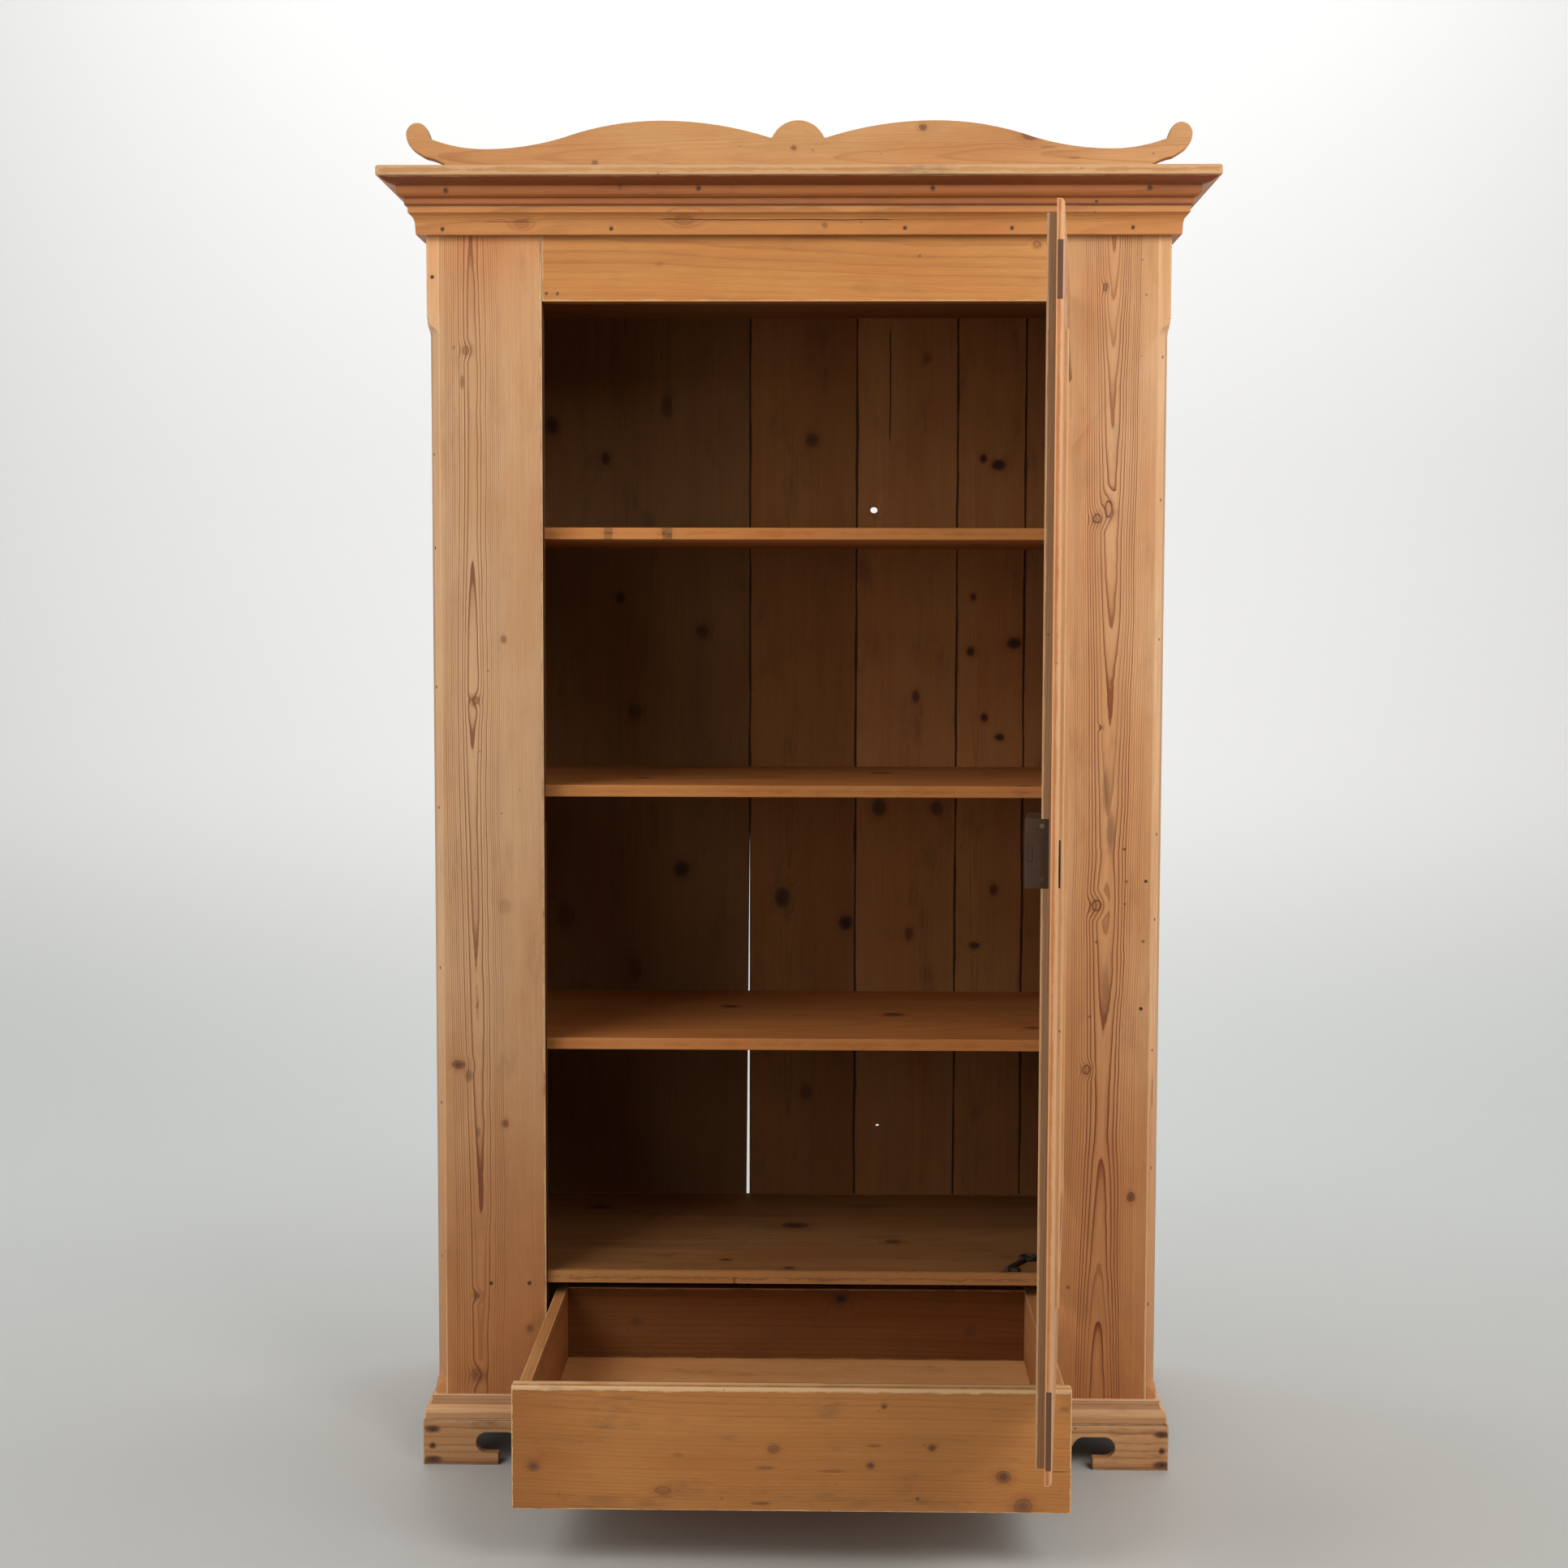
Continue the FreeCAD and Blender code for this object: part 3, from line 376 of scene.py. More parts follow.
    # Colour: early and late wood, streaks and clouds, then the tints.
    streak = finish.noise(grain_place, (2.0, 260.0, 260.0), 3.0, 0.62, shift + 1.0)
    fibre = finish.noise(grain_place, (22.0, 760.0, 760.0), 2.0, 0.6, shift + 2.0)
    cloud = finish.noise(grain_place, (3.0, 9.0, 9.0), 4.0, 0.6, shift + 4.0)
    colour = finish.mixed(line, look["early"], look["late"])
    for index, start, end, tint in tints:
        share = (along, across, through)[index].fade(start, end)
        colour = finish.tinted(share, colour, tint)
    band = finish.noise(grain_place, (0.9, 52.0, 52.0), 2.0, 0.55, shift + 8.0)
    tone = 0.4 + streak * 0.22 + fibre * 0.26 + cloud * 0.46 + band * 0.22
    colour = finish.node("ShaderNodeVectorMath", {"operation": "SCALE"},
                         {0: colour, "Scale": tone})
    colour = finish.tinted(cloud.fade(0.6, 0.36) * 0.6, colour, (1.02, 0.84, 0.66))
    if knots:
        nearest, knot_dark = reduce(Signal.least, knot_aways), reduce(Signal.most, knot_darks)
        inner = (nearest * 9.0 + wobble * 8.0).maths("SINE") * 0.5 + 0.5
        pith = nearest.fade(1.1, 0.35) * knot_dark
        knot_colour = finish.mixed((inner * 0.25).most(pith), look["knot"], look["core"])
        colour = finish.tinted(nearest.fade(2.6, 0.9) * 0.35, colour, look["halo"])
        colour = finish.mixed(knot_dark, colour, knot_colour)
        rim = nearest.fade(0.66, 0.92) * nearest.fade(1.22, 1.0)
        colour = finish.mixed(rim * rims, colour, look["core"])
    if stains:
        colour = finish.mixed(reduce(Signal.most, stain_darks), colour, look["core"])

    # Wear: the arrises are rubbed pale, dirt lies in blotches, and small dents catch the dirt.
    low, high = own_frame(node, turn, pivot)
    gaps = []
    for signal, index in zip((along, across, through), order):
        middle = (low[index] + high[index]) / 2
        gaps.append((high[index] - low[index]) / 2 - abs(signal - middle))
    small, large = gaps[0].least(gaps[1]), gaps[0].most(gaps[1])
    edge_gap = small.most(large.least(gaps[2]))
    edge_wobble = finish.noise(grain_place, (26.0, 70.0, 70.0), 4.0, 0.7, shift + 6.0)
    edge = (edge_gap - edge_wobble * wear * 2.6 + wear * 0.8).fade(wear * 0.6, 0.0)
    for arris_across, arris_through, arris_reach in arrises:
        away = finish.length(finish.joined(across - arris_across, through - arris_through))
        away = away / arris_reach + (edge_wobble - 0.5) * 1.4
        edge = edge.most(away.fade(1.0, 0.55))
    colour = finish.mixed(edge * worn, colour, look["worn"])
    grime = finish.noise(grain_place, (8.0, 22.0, 22.0), 4.0, 0.7, shift + 7.0).fade(0.52, 0.78)
    colour = finish.mixed(grime * soil * 0.45, colour, look["soil"])
    pock = finish.node("ShaderNodeTexVoronoi", {"feature": "F1"}, {
        "Vector": grain_place, "Scale": 34.0, "Randomness": 1.0})
    dent = pock.fade(0.075, 0.03) * cloud.fade(0.46, 0.6)
    colour = finish.mixed(dent * dents, colour, look["soil"])

    # Shrinkage cracks and old scratches run with the grain.
    for crack_start, crack_end, crack_across, crack_width in cracks:
        aside = abs(across - crack_across + ripple * 0.005 + wobble * 0.0008)
        tip = (along - crack_start).least(crack_end - along).fade(0.0, 0.02)
        crack_darks.append((aside / (tip * crack_width + 0.00005)).fade(1.0, 0.4))
    if cracks:
        crack_dark = reduce(Signal.most, crack_darks)
        colour = finish.mixed(crack_dark * 0.9, colour, look["core"])

    # End grain drinks the stain: it is darker and duller.
    facing = finish.node("ShaderNodeTexCoord", output="Normal")
    way = Vector([1.0 if index == order[0] else 0.0 for index in range(3)])
    end = abs(finish.node("ShaderNodeVectorMath", {"operation": "DOT_PRODUCT"},
                          {0: facing, 1: Matrix.Rotation(turn, 3, "Z") @ way}, "Value"))
    colour = finish.mixed(end.fade(0.75, 0.95) * end_dark, colour, look["soil"])

    finish.shader.inputs["Specular IOR Level"].default_value = look["gloss"]
    roughness = look["roughness"] + line * 0.1 + cloud * 0.1 - edge * 0.05
    height = line * 0.35 + fibre * 0.45 + edge_wobble * 0.25 - dent * 0.6
    if cracks:
        height = height - crack_dark * 1.5
    return finish.surface(colour, roughness, height, grain_depth)


def show_piece(name, mesh, body, shaded, replaced=None):
    """Shade a mesh smoothly up to an angle and hang it on its body, in a node's place."""
    for polygon in mesh.polygons:
        polygon.use_smooth = True
    mesh.set_sharp_from_angle(angle=shaded)
    piece = bpy.data.objects.new(name, mesh)
    scene.collection.objects.link(piece)
    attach(piece, body)
    if replaced:
        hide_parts(replaced)


def worn_piece(node, body, arris, material, flat_joined=True):
    """A copy of a node with its sharp edges worn round, which is shown in its place."""
    shape = bmesh.new()
    shape.from_mesh(frame["nodes"][node].data)
    bmesh.ops.remove_doubles(shape, verts=shape.verts, dist=weld_reach)
    if flat_joined:
        bmesh.ops.dissolve_limit(shape, angle_limit=flat_angle, verts=shape.verts,
                                 edges=shape.edges)
    sharp = [edge for edge in shape.edges
             if len(edge.link_faces) == 2 and edge.calc_face_angle() > worn_angle]
    bmesh.ops.bevel(shape, geom=sharp, offset=arris, offset_type="OFFSET", segments=2,
                    profile=0.5, affect="EDGES", clamp_overlap=True)
    bmesh.ops.recalc_face_normals(shape, faces=shape.faces)
    mesh = bpy.data.meshes.new(node + "_wood")
    shape.to_mesh(mesh)
    shape.free()
    mesh.materials.append(material)
    show_piece(node + "_wood", mesh, body, shaded_angle, node)


def pine_piece(node, slot, arris, ways, look, heart, body="carcase", flat_joined=True, **marks):
    """A worn piece in pine of its own, whose further marks are those of pine."""
    worn_piece(node, body, arris, pine(node, ways, look, heart, **marks), flat_joined)


even = (1.0, 2.0, 1.0)  # for rings that do not fade beside the heart
seam_tone = (0.26, 0.17, 0.11)  # the dark line where two boards meet
stile_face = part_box("left_stile")[0].y
tan = dict(honey, early=(0.56, 0.328, 0.166), late=(0.235, 0.09, 0.033))
left_bow = [
    (1.68, 6.3), (1.59, 5.6), (1.5, 5.35), (1.4, 5.4), (1.3, 5.3), (1.221, 5.0), (1.12, 4.45),
    (1.03, 4.6), (1.005, 5.0), (0.9, 5.6), (0.75, 5.75), (0.6, 5.9), (0.455, 6.3), (0.33, 6.8),
    (0.22, 7.3), (0.13, 7.8), (0.06, 8.2)]
left_knots = [
    (1.501, -0.4385, 0.0045, 0.55), (1.039, -0.429, 0.0042, 0.6), (1.12, -0.3905, 0.0036, 0.6),
    (0.547, -0.4554, 0.0085, 0.9, 0.7), (0.467, -0.392, 0.0042, 0.8),
    (0.23, -0.4334, 0.0042, 0.85), (0.185, -0.361, 0.004, 0.8), (0.12, -0.435, 0.006, 0.75)]
left_stains = [
    (1.46, -0.444, 0.0028, 0.55, 3.2), (0.247, -0.4134, 0.0028, 0.85),
    (0.2476, -0.3615, 0.0028, 0.85), (0.762, -0.3915, 0.0085, 0.22, 1.2),
    (0.532, -0.442, 0.005, 0.55, 1.6), (0.455, -0.43, 0.003, 0.5, 2.2),
    (1.505, -0.455, 0.0022, 0.4), (1.5973, -0.4824, 0.0026, 0.7)]
# The tints darken the stile towards its top, darken it towards the floor as painted shade, lighten
# its outer chamfer as a painted highlight, and draw a dark seam along its inner edge.
pine_piece(
    "left_stile", "carcase_front", 0.0015, "ZXY", tan, (-0.431, stile_face), bow=left_bow,
    knots=left_knots, stains=left_stains, shift=11.0, lines=1.6, calm=(0.022, 0.046, 0.16),
    bend=0.45, worn=0.75, arrises=[(-0.4744, 0.117, 0.0014)],
    tints=[(0, 1.5, 1.68, (1.0, 0.76, 0.53)), (0, 0.75, 0.12, (0.76, 0.55, 0.34)),
           (1, -0.4735, -0.4765, (1.22, 1.26, 1.3)), (1, -0.3406, -0.3392, seam_tone)])

right_bow = [
    (1.68, 3.2), (1.601, 4.0), (1.545, 5.0), (1.484, 6.0), (1.36, 7.0), (1.205, 8.0),
    (1.101, 9.0), (0.963, 10.0), (0.842, 11.0), (0.829, 11.12), (0.817, 11.0), (0.765, 10.5),
    (0.711, 11.0), (0.62, 11.6), (0.541, 12.0), (0.48, 12.3), (0.425, 12.0), (0.271, 11.0),
    (0.191, 10.0), (0.06, 9.0)]
right_knots = [
    (1.2813, 0.397, 0.0052, 0.3), (0.7666, 0.4013, 0.006, 0.3), (0.5449, 0.3897, 0.0048, 0.25),
    (1.5832, 0.4037, 0.0028, 0.65, 1.6), (1.0054, 0.404, 0.0022, 0.6),
    (0.3716, 0.4522, 0.0048, 0.88), (1.294, 0.4113, 0.0045, 0.12, 2.4)]
right_stains = [
    (0.8424, 0.4372, 0.002, 0.8), (0.7689, 0.4392, 0.0018, 0.7), (0.7994, 0.441, 0.0018, 0.7),
    (0.7996, 0.4669, 0.0022, 0.8), (0.7188, 0.4636, 0.002, 0.7), (0.6278, 0.4626, 0.0024, 0.9),
    (0.6165, 0.3932, 0.002, 0.6), (0.7174, 0.4019, 0.0022, 0.6), (0.2474, 0.3689, 0.0028, 0.6),
    (0.92, 0.412, 0.0045, 0.4, 6.0), (0.865, 0.4185, 0.005, 0.5, 5.0),
    (0.65, 0.414, 0.005, 0.4, 7.0)]
# The right stile's pine is redder than the left one's, and lighter as well: painted light against
# the shadow the open door casts on it. Its tints darken it towards the floor as painted shade,
# darken it towards its top, lighten its outer chamfer as a painted highlight, and draw a dark seam
# along its inner edge.
reddish_and_lit = dict(honey, early=(0.665, 0.378, 0.184), late=(0.24, 0.068, 0.018))
pine_piece(
    "right_stile", "carcase_front", 0.0015, "ZXY", reddish_and_lit, (0.411, stile_face), bow=right_bow,
    lines=1.8, calm=(0.028, 0.052, 0.14), knots=right_knots, stains=right_stains, shift=23.0,
    worn=0.8, rims=0.8, cracks=[(0.485, 0.54, 0.4803, 0.0009)],
    arrises=[(0.4744, 0.117, 0.002)],
    tints=[(0, 0.95, 0.12, (0.7, 0.52, 0.35)), (0, 1.46, 1.62, (0.82, 0.74, 0.64)),
           (1, 0.4735, 0.4765, (1.18, 1.22, 1.3)), (1, 0.3406, 0.3392, seam_tone)])

orange = dict(honey, early=(0.525, 0.232, 0.06), late=(0.33, 0.118, 0.027))
pine_piece(
    "lintel", "carcase_front", 0.0012, "XZY", orange, (1.71, 0.6), lean=0.004, lines=0.5,
    calm=even, shift=31.0,
    tints=[(0, -0.3362, -0.3371, seam_tone), (2, 0.1175, 0.12, (0.8, 0.7, 0.6))],
    stains=[(-0.3318, 1.5751, 0.002, 0.9), (-0.3168, 1.5751, 0.002, 0.9),
            (0.1597, 1.6233, 0.002, 0.5), (-0.1828, 1.6141, 0.003, 0.25, 2.0)],
    knots=[(0.3138, 1.6401, 0.004, 0.3)])

# Sides: one wide board each, with the grain upright, housed out inside for the ceiling and the
# bottom and nailed to both. They are waxed like the front, but bare and dark on the inside.
side_knots = [
    (1.42, 0.3, 0.009, 0.9), (1.05, 0.47, 0.012, 0.8), (0.71, 0.22, 0.008, 0.9),
    (0.38, 0.41, 0.013, 0.9), (0.52, 0.53, 0.006, 0.6)]
# The first tint darkens each side towards the floor as painted shade; the second darkens the bare
# inner face.
for side, sign, shift in (("left", -1.0, 41.0), ("right", 1.0, 53.0)):
    pine_piece(
        side + "_side", "carcase_side", 0.0008, "ZYX", tan, (0.34, sign * 0.466),
        lean=0.018 * sign, sway=0.01, knots=side_knots, shift=shift, calm=(0.06, 0.16, 0.35),
        tints=[(0, 0.62, 0.1, (0.92, 0.78, 0.62)),
               (2, sign * 0.4712, sign * 0.4703, (0.56, 0.42, 0.3))])

# Inside boards: the ceiling, the bottom and three loose shelves on nailed cleats. They were
# never waxed and have gone dark brown, but use has worn their front edges pale.
dusky = {
    "early": (0.32, 0.135, 0.042),
    "late": (0.2, 0.075, 0.02),
    "worn": (0.54, 0.26, 0.095),
    "knot": (0.16, 0.06, 0.02),
    "core": (0.04, 0.017, 0.008),
    "halo": (0.62, 0.5, 0.4),
    "soil": (0.07, 0.04, 0.02),
    "roughness": 0.7,
    "gloss": 0.22,
}
shelf_edge_tone = dict(dusky, early=(0.53, 0.205, 0.056), late=(0.35, 0.122, 0.031),
                       worn=(0.62, 0.27, 0.086))
shelf_knots = {
    "shelf_1": [
        (-0.101, 0.42, 0.01, 0.8), (-0.335, 0.146, 0.006, 0.5, 0.6), (0.137, 0.356, 0.012, 0.8),
        (0.33, 0.25, 0.008, 0.7)],
    "shelf_2": [
        (0.307, 0.165, 0.008, 0.9), (-0.22, 0.3, 0.01, 0.8), (0.12, 0.42, 0.013, 0.7)],
    "shelf_3": [
        (-0.175, 0.156, 0.006, 0.9), (-0.254, 0.157, 0.005, 0.8), (0.26, 0.37, 0.012, 0.8)],
}
# The tint darkens each shelf towards the back: painted shade.
for number, (node, knots) in enumerate(shelf_knots.items()):
    pine_piece(
        node, "inside_boards", 0.0015, "XYZ", shelf_edge_tone, (0.3 + 0.04 * number, -0.35),
        lean=0.01, sway=0.01, lines=0.5, knots=knots, wear=0.008, worn=0.4,
        shift=61.0 + 7.0 * number, calm=even, rims=0.3,
        tints=[(1, 0.17, 0.4, (0.8, 0.82, 0.8))])
ceiling_tone = dict(dusky, early=(0.3, 0.15, 0.048), late=(0.19, 0.085, 0.024))
pine_piece(
    "ceiling_board", "inside_boards", 0.001, "XYZ", ceiling_tone, (0.28, 2.1),
    knots=[(0.1, 0.25, 0.01, 0.8), (-0.24, 0.4, 0.012, 0.8)], shift=83.0)
bottom_knots = [
    (-0.004, 0.378, 0.016, 0.9), (-0.097, 0.191, 0.006, 0.9), (-0.009, 0.152, 0.006, 0.9),
    (0.137, 0.291, 0.009, 0.8), (0.287, 0.137, 0.006, 0.8), (-0.3, 0.48, 0.012, 0.7)]
bottom_tone = dict(dusky, early=(0.276, 0.125, 0.042), late=(0.17, 0.068, 0.021),
                   worn=(0.53, 0.25, 0.084))
pine_piece(
    "bottom_board", "inside_boards", 0.0022, "XYZ", bottom_tone, (0.26, -0.1), sway=0.008,
    knots=bottom_knots, wear=0.008, worn=0.75, soil=1.0, rims=0.3, calm=even, lines=0.5,
    shift=91.0, arrises=[(0.1294, 0.2615, 0.01), (0.1294, 0.2455, 0.004)])


def cover_node(node, material):
    """Put a material on a node that is shown as it is."""
    materials = frame["nodes"][node].data.materials
    materials.clear()
    materials.append(material)


cover_node("shelf_cleats", pine("shelf_cleats", "YZX", dusky, (0.9, 0.4), shift=97.0))

# Back boards: upright boards nailed on from behind, rough, unwaxed and dark with age. They
# have shrunk, so the joints between them show as dark lines, and one of them has split.
back_tones = [
    (0.33, 0.146, 0.046), (0.32, 0.138, 0.041), (0.37, 0.163, 0.052), (0.37, 0.16, 0.05),
    (0.33, 0.14, 0.044)]
# Painted shade: boards 1 and 2, at the left, are darkened on their inner faces, where the left
# stile shades the back.
back_painted_shade_tints = [
    (0.62, 0.69, 0.74), (0.84, 0.82, 0.78), (1.0, 1.0, 1.0), (1.0, 1.0, 1.0), (1.0, 1.0, 1.0)]
back_knots = {
    "back_board_1": [
        (1.439, -0.378, 0.01, 0.85, 1.3), (1.39, -0.297, 0.006, 0.8, 1.6),
        (1.469, -0.203, 0.007, 0.6, 2.2), (0.765, -0.182, 0.011, 0.85, 1.1),
        (1.006, -0.253, 0.009, 0.6, 1.2), (1.129, -0.149, 0.009, 0.7, 1.1),
        (0.69, -0.36, 0.012, 0.4), (1.18, -0.275, 0.006, 0.8),
        (0.61, -0.255, 0.01, 0.45, 1.5)],
    "back_board_2": [
        (1.418, 0.016, 0.009, 0.7, 1.1), (0.722, -0.027, 0.011, 0.85, 1.3),
        (0.683, 0.07, 0.01, 0.95, 1.1), (0.42, 0.01, 0.008, 0.5)],
    "back_board_3": [
        (0.861, 0.12, 0.01, 0.75, 1.3), (0.667, 0.167, 0.006, 0.6, 1.5),
        (1.031, 0.175, 0.005, 0.75, 1.8), (1.54, 0.19, 0.005, 0.4),
        (0.86, 0.208, 0.009, 0.65, 1.2)],
    "back_board_4": [
        (1.391, 0.276, 0.0052, 0.9), (1.381, 0.299, 0.01, 0.9, 0.8),
        (1.099, 0.258, 0.006, 0.85), (0.999, 0.28, 0.0055, 0.9),
        (0.969, 0.303, 0.007, 0.9, 0.8), (1.112, 0.325, 0.0105, 0.9, 0.8),
        (1.182, 0.262, 0.0045, 0.8), (0.649, 0.267, 0.008, 0.8, 0.7),
        (0.735, 0.296, 0.006, 0.7, 1.4)],
    "back_board_5": [(1.3, 0.42, 0.01, 0.8), (0.8, 0.4, 0.009, 0.8)],
}
outer_edge = 0.4  # as far out as a joint between two back boards can lie
back_splits = {
    "back_board_3": [(1.41, 1.592, 0.1342, 0.0012)],
}
for number, (node, knots) in enumerate(back_knots.items()):
    low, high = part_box(node)
    heart = ((low.x + high.x) / 2 + 0.02 * (-1) ** number, 0.6)
    joints = [(low.z - 0.1, high.z + 0.1, edge, 0.0022) for edge in (low.x, high.x)
              if abs(edge) < outer_edge]
    early = back_tones[number]
    board_tone = dict(dusky, early=early, late=tuple(part * 0.5 for part in early),
                      knot=(0.085, 0.034, 0.014), core=(0.018, 0.009, 0.006))
    pine_piece(
        node, "back_boards", 0.0006, "ZXY", board_tone, heart, lean=0.014, lines=0.55,
        knots=knots, worn=0.1, soil=1.0, rims=0.2, soft=0.35,
        cracks=joints + back_splits.get(node, []), calm=(0.03, 0.09, 0.4),
        tints=[(0, 0.95, 0.35, (0.8, 0.8, 0.78)),
               (2, low.y + 0.0008, low.y + 0.0002, back_painted_shade_tints[number])],
        shift=101.0 + 9.0 * number)

# Cornice: a crown moulding over a bed moulding, mitred at both corners, with a thin board on top.
# The front crown is darker, with painted shade in a band under the top board and another along its
# foot.
cornice_tone = dict(honey, early=(0.495, 0.2, 0.053), late=(0.29, 0.097, 0.025))
crown_tone = dict(honey, early=(0.372, 0.124, 0.031), late=(0.235, 0.066, 0.016))
crown_knots = [
    (-0.458, 1.704, 0.0035, 0.85), (-0.231, 1.708, 0.003, 0.5), (-0.129, 1.706, 0.0035, 0.85),
    (0.175, 1.706, 0.0035, 0.85), (0.456, 1.706, 0.004, 0.85)]
# Its tints paint shade in a band under the top board and along its foot.
pine_piece(
    "crown_moulding_front", "cornice", 0.0005, "XZY", crown_tone, (1.7, 0.42), lean=0.004,
    sway=0.01, lines=0.6, stains=crown_knots, calm=even, wear=0.0015, worn=0.4, soil=0.8,
    shift=151.0,
    tints=[(1, 1.7085, 1.7125, (0.6, 0.46, 0.38)), (1, 1.69, 1.6875, (0.6, 0.5, 0.4))])
bed_knots = [(-0.149, 1.668, 0.006, 0.3, 2.0), (-0.362, 1.664, 0.005, 0.25, 1.8)]
bed_nails = [
    (-0.4665, 1.6576), (-0.2447, 1.6574), (0.1399, 1.6582), (0.2798, 1.6581), (0.4373, 1.659)]
bed_stains = [(*place, 0.003, 0.7) for place in bed_nails] + [(0.035, 1.662, 0.004, 0.5)]
pine_piece(
    "bed_moulding_front", "cornice", 0.0005, "XZY", cornice_tone, (1.66, 0.48), lean=0.006,
    sway=0.012, lines=0.7, knots=bed_knots, stains=bed_stains, calm=even, rims=0.2, wear=0.0015,
    worn=0.4, cracks=[(-0.19, 0.13, 1.669, 0.0007), (-0.42, -0.34, 1.6665, 0.0005)], shift=157.0)
for part, shift in (("crown_moulding", 163.0), ("bed_moulding", 167.0)):
    for side, step in (("left", 0.0), ("right", 2.0)):
        node = part + "_" + side
        pine_piece(
            node, "cornice", 0.0005, "YZX", cornice_tone, (1.68, 0.3), lean=0.005, lines=0.6,
            calm=even, wear=0.0015, worn=0.4,
            knots=[(0.35, 1.7 if part == "crown_moulding" else 1.665, 0.004, 0.7)],
            shift=shift + step)
top_tone = dict(honey, early=(0.48, 0.24, 0.092), worn=(0.6, 0.36, 0.175), roughness=0.55)
pine_piece(
    "top_board", "cornice", 0.001, "XYZ", top_tone, (0.25, 2.2), sway=0.008, wear=0.005, worn=0.7,
    knots=[(0.21, 0.3, 0.012, 0.8), (-0.33, 0.46, 0.01, 0.8)], soil=1.0, shift=173.0)

# Crest: one board sawn to a wave with a curl at each end, glued upright on the top board and
# held by three blocks behind.
crest_tone = dict(honey, early=(0.53, 0.268, 0.1), late=(0.33, 0.12, 0.033))
crest_knots = [
    (0.1625, 1.7875, 0.004, 0.8, 1.3), (0.303, 1.781, 0.009, 0.85, 1.3),
    (-0.0057, 1.7617, 0.0028, 0.7)]
crest_stains = [
    (-0.2657, 1.7423, 0.004, 0.6), (0.326, 1.762, 0.002, 0.35, 5.0),
    (0.36, 1.748, 0.0015, 0.4, 5.0)]
pine_piece(
    "crest_board", "crest", 0.0018, "XZY", crest_tone, (1.749, 0.135), lean=0.02, sway=0.006,
    lines=0.5, knots=crest_knots, stains=crest_stains, wear=0.001, worn=0.2, soil=0.4,
    calm=(0.012, 0.04, 0.25), shift=181.0)
pine_piece(
    "crest_blocks", "crest_blocks", 0.001, "XZY", dict(dusky, early=(0.4, 0.24, 0.11)),
    (1.9, 0.3), shift=187.0)

# Base: a moulding on a sawn plinth, nailed through at each corner. Brooms, mops and shoes
# have soiled and knocked both.
base_tone = dict(honey, early=(0.65, 0.405, 0.22), late=(0.33, 0.145, 0.055),
                 worn=(0.8, 0.56, 0.36), roughness=0.5)
# The tints paint shade into the cove under the top fillet, on the underside of the round and along
# its foot, leaving the round's face pale between them as a painted highlight.
for node, ways, heart, shift in (
        ("base_moulding_front_left", "XZY", (0.02, 0.42), 191.0),
        ("base_moulding_front_right", "XZY", (0.02, 0.42), 193.0),
        ("base_moulding_left", "YZX", (0.02, -0.2), 197.0),
        ("base_moulding_right", "YZX", (0.02, 0.2), 199.0)):
    pine_piece(
        node, "base_moulding", 0.0008, ways, base_tone, heart, lines=0.6, calm=even, wear=0.002,
        worn=0.8, soil=1.0, dents=0.9, shift=shift,
        tints=[(1, 0.065, 0.0618, (0.3, 0.22, 0.17)), (1, 0.0905, 0.0875, (0.66, 0.54, 0.44)),
               (1, 0.0825, 0.0795, (1.5, 1.75, 2.0)), (1, 0.0725, 0.07, (0.84, 0.76, 0.68))])
plinth_tone = dict(honey, early=(0.525, 0.275, 0.12), late=(0.26, 0.105, 0.036))
plinth_stains = [
    (across, height, radius, 0.92, length) for across in (-0.4922, 0.4965)
    for height, radius, length in ((0.0075, 0.005, 2.4), (0.0265, 0.0042, 1.1),
                                   (0.049, 0.0048, 2.2))]
# The plinth is darker along its foot, and darker along its top as painted shade under the
# moulding.
plinth_foot_and_shade_tints = [(1, 0.01, 0.0, (0.42, 0.32, 0.25)), (1, 0.0588, 0.0608, (0.5, 0.4, 0.32))]
# Painted light and shade: the front plinth is darker at its left end and lighter at its right end.
plinth_end_light_tints = [(0, -0.3, -0.42, (0.94, 0.94, 0.9)), (0, 0.3, 0.42, (1.16, 1.17, 1.15))]
for node, ways, heart, stains, extra_tints, shift in (
        ("plinth_front", "XZY", (0.1, 0.4), plinth_stains, plinth_end_light_tints, 211.0),
        ("plinth_left", "YZX", (0.08, -0.25), (), [], 217.0),
        ("plinth_right", "YZX", (0.08, 0.25), (), [], 223.0)):
    pine_piece(
        node, "plinth", 0.0012, ways, plinth_tone, heart, lines=0.8, calm=even, stains=stains,
        wear=0.002, worn=0.5, soil=1.6, dents=0.9, shift=shift, tints=plinth_foot_and_shade_tints + extra_tints)

# Bearers and blocks: rough bare pine, glued and nailed out of sight behind the plinth and under
# the bottom board. They carry the drawer, guide it and stop it.
for number, (node, ways) in enumerate((
        ("foot_blocks", "ZXY"), ("drawer_rail", "XZY"), ("back_rail", "XZY"),
        ("left_runner", "YXZ"), ("right_runner", "YXZ"), ("drawer_guides", "YXZ"),
        ("drawer_stops", "YXZ"))):
    pine_piece(
        node, "rough_pine", 0.0008, ways, dusky, (0.3, 0.6), wear=0.003, soil=1.0,
        shift=231.0 + 5.0 * number)

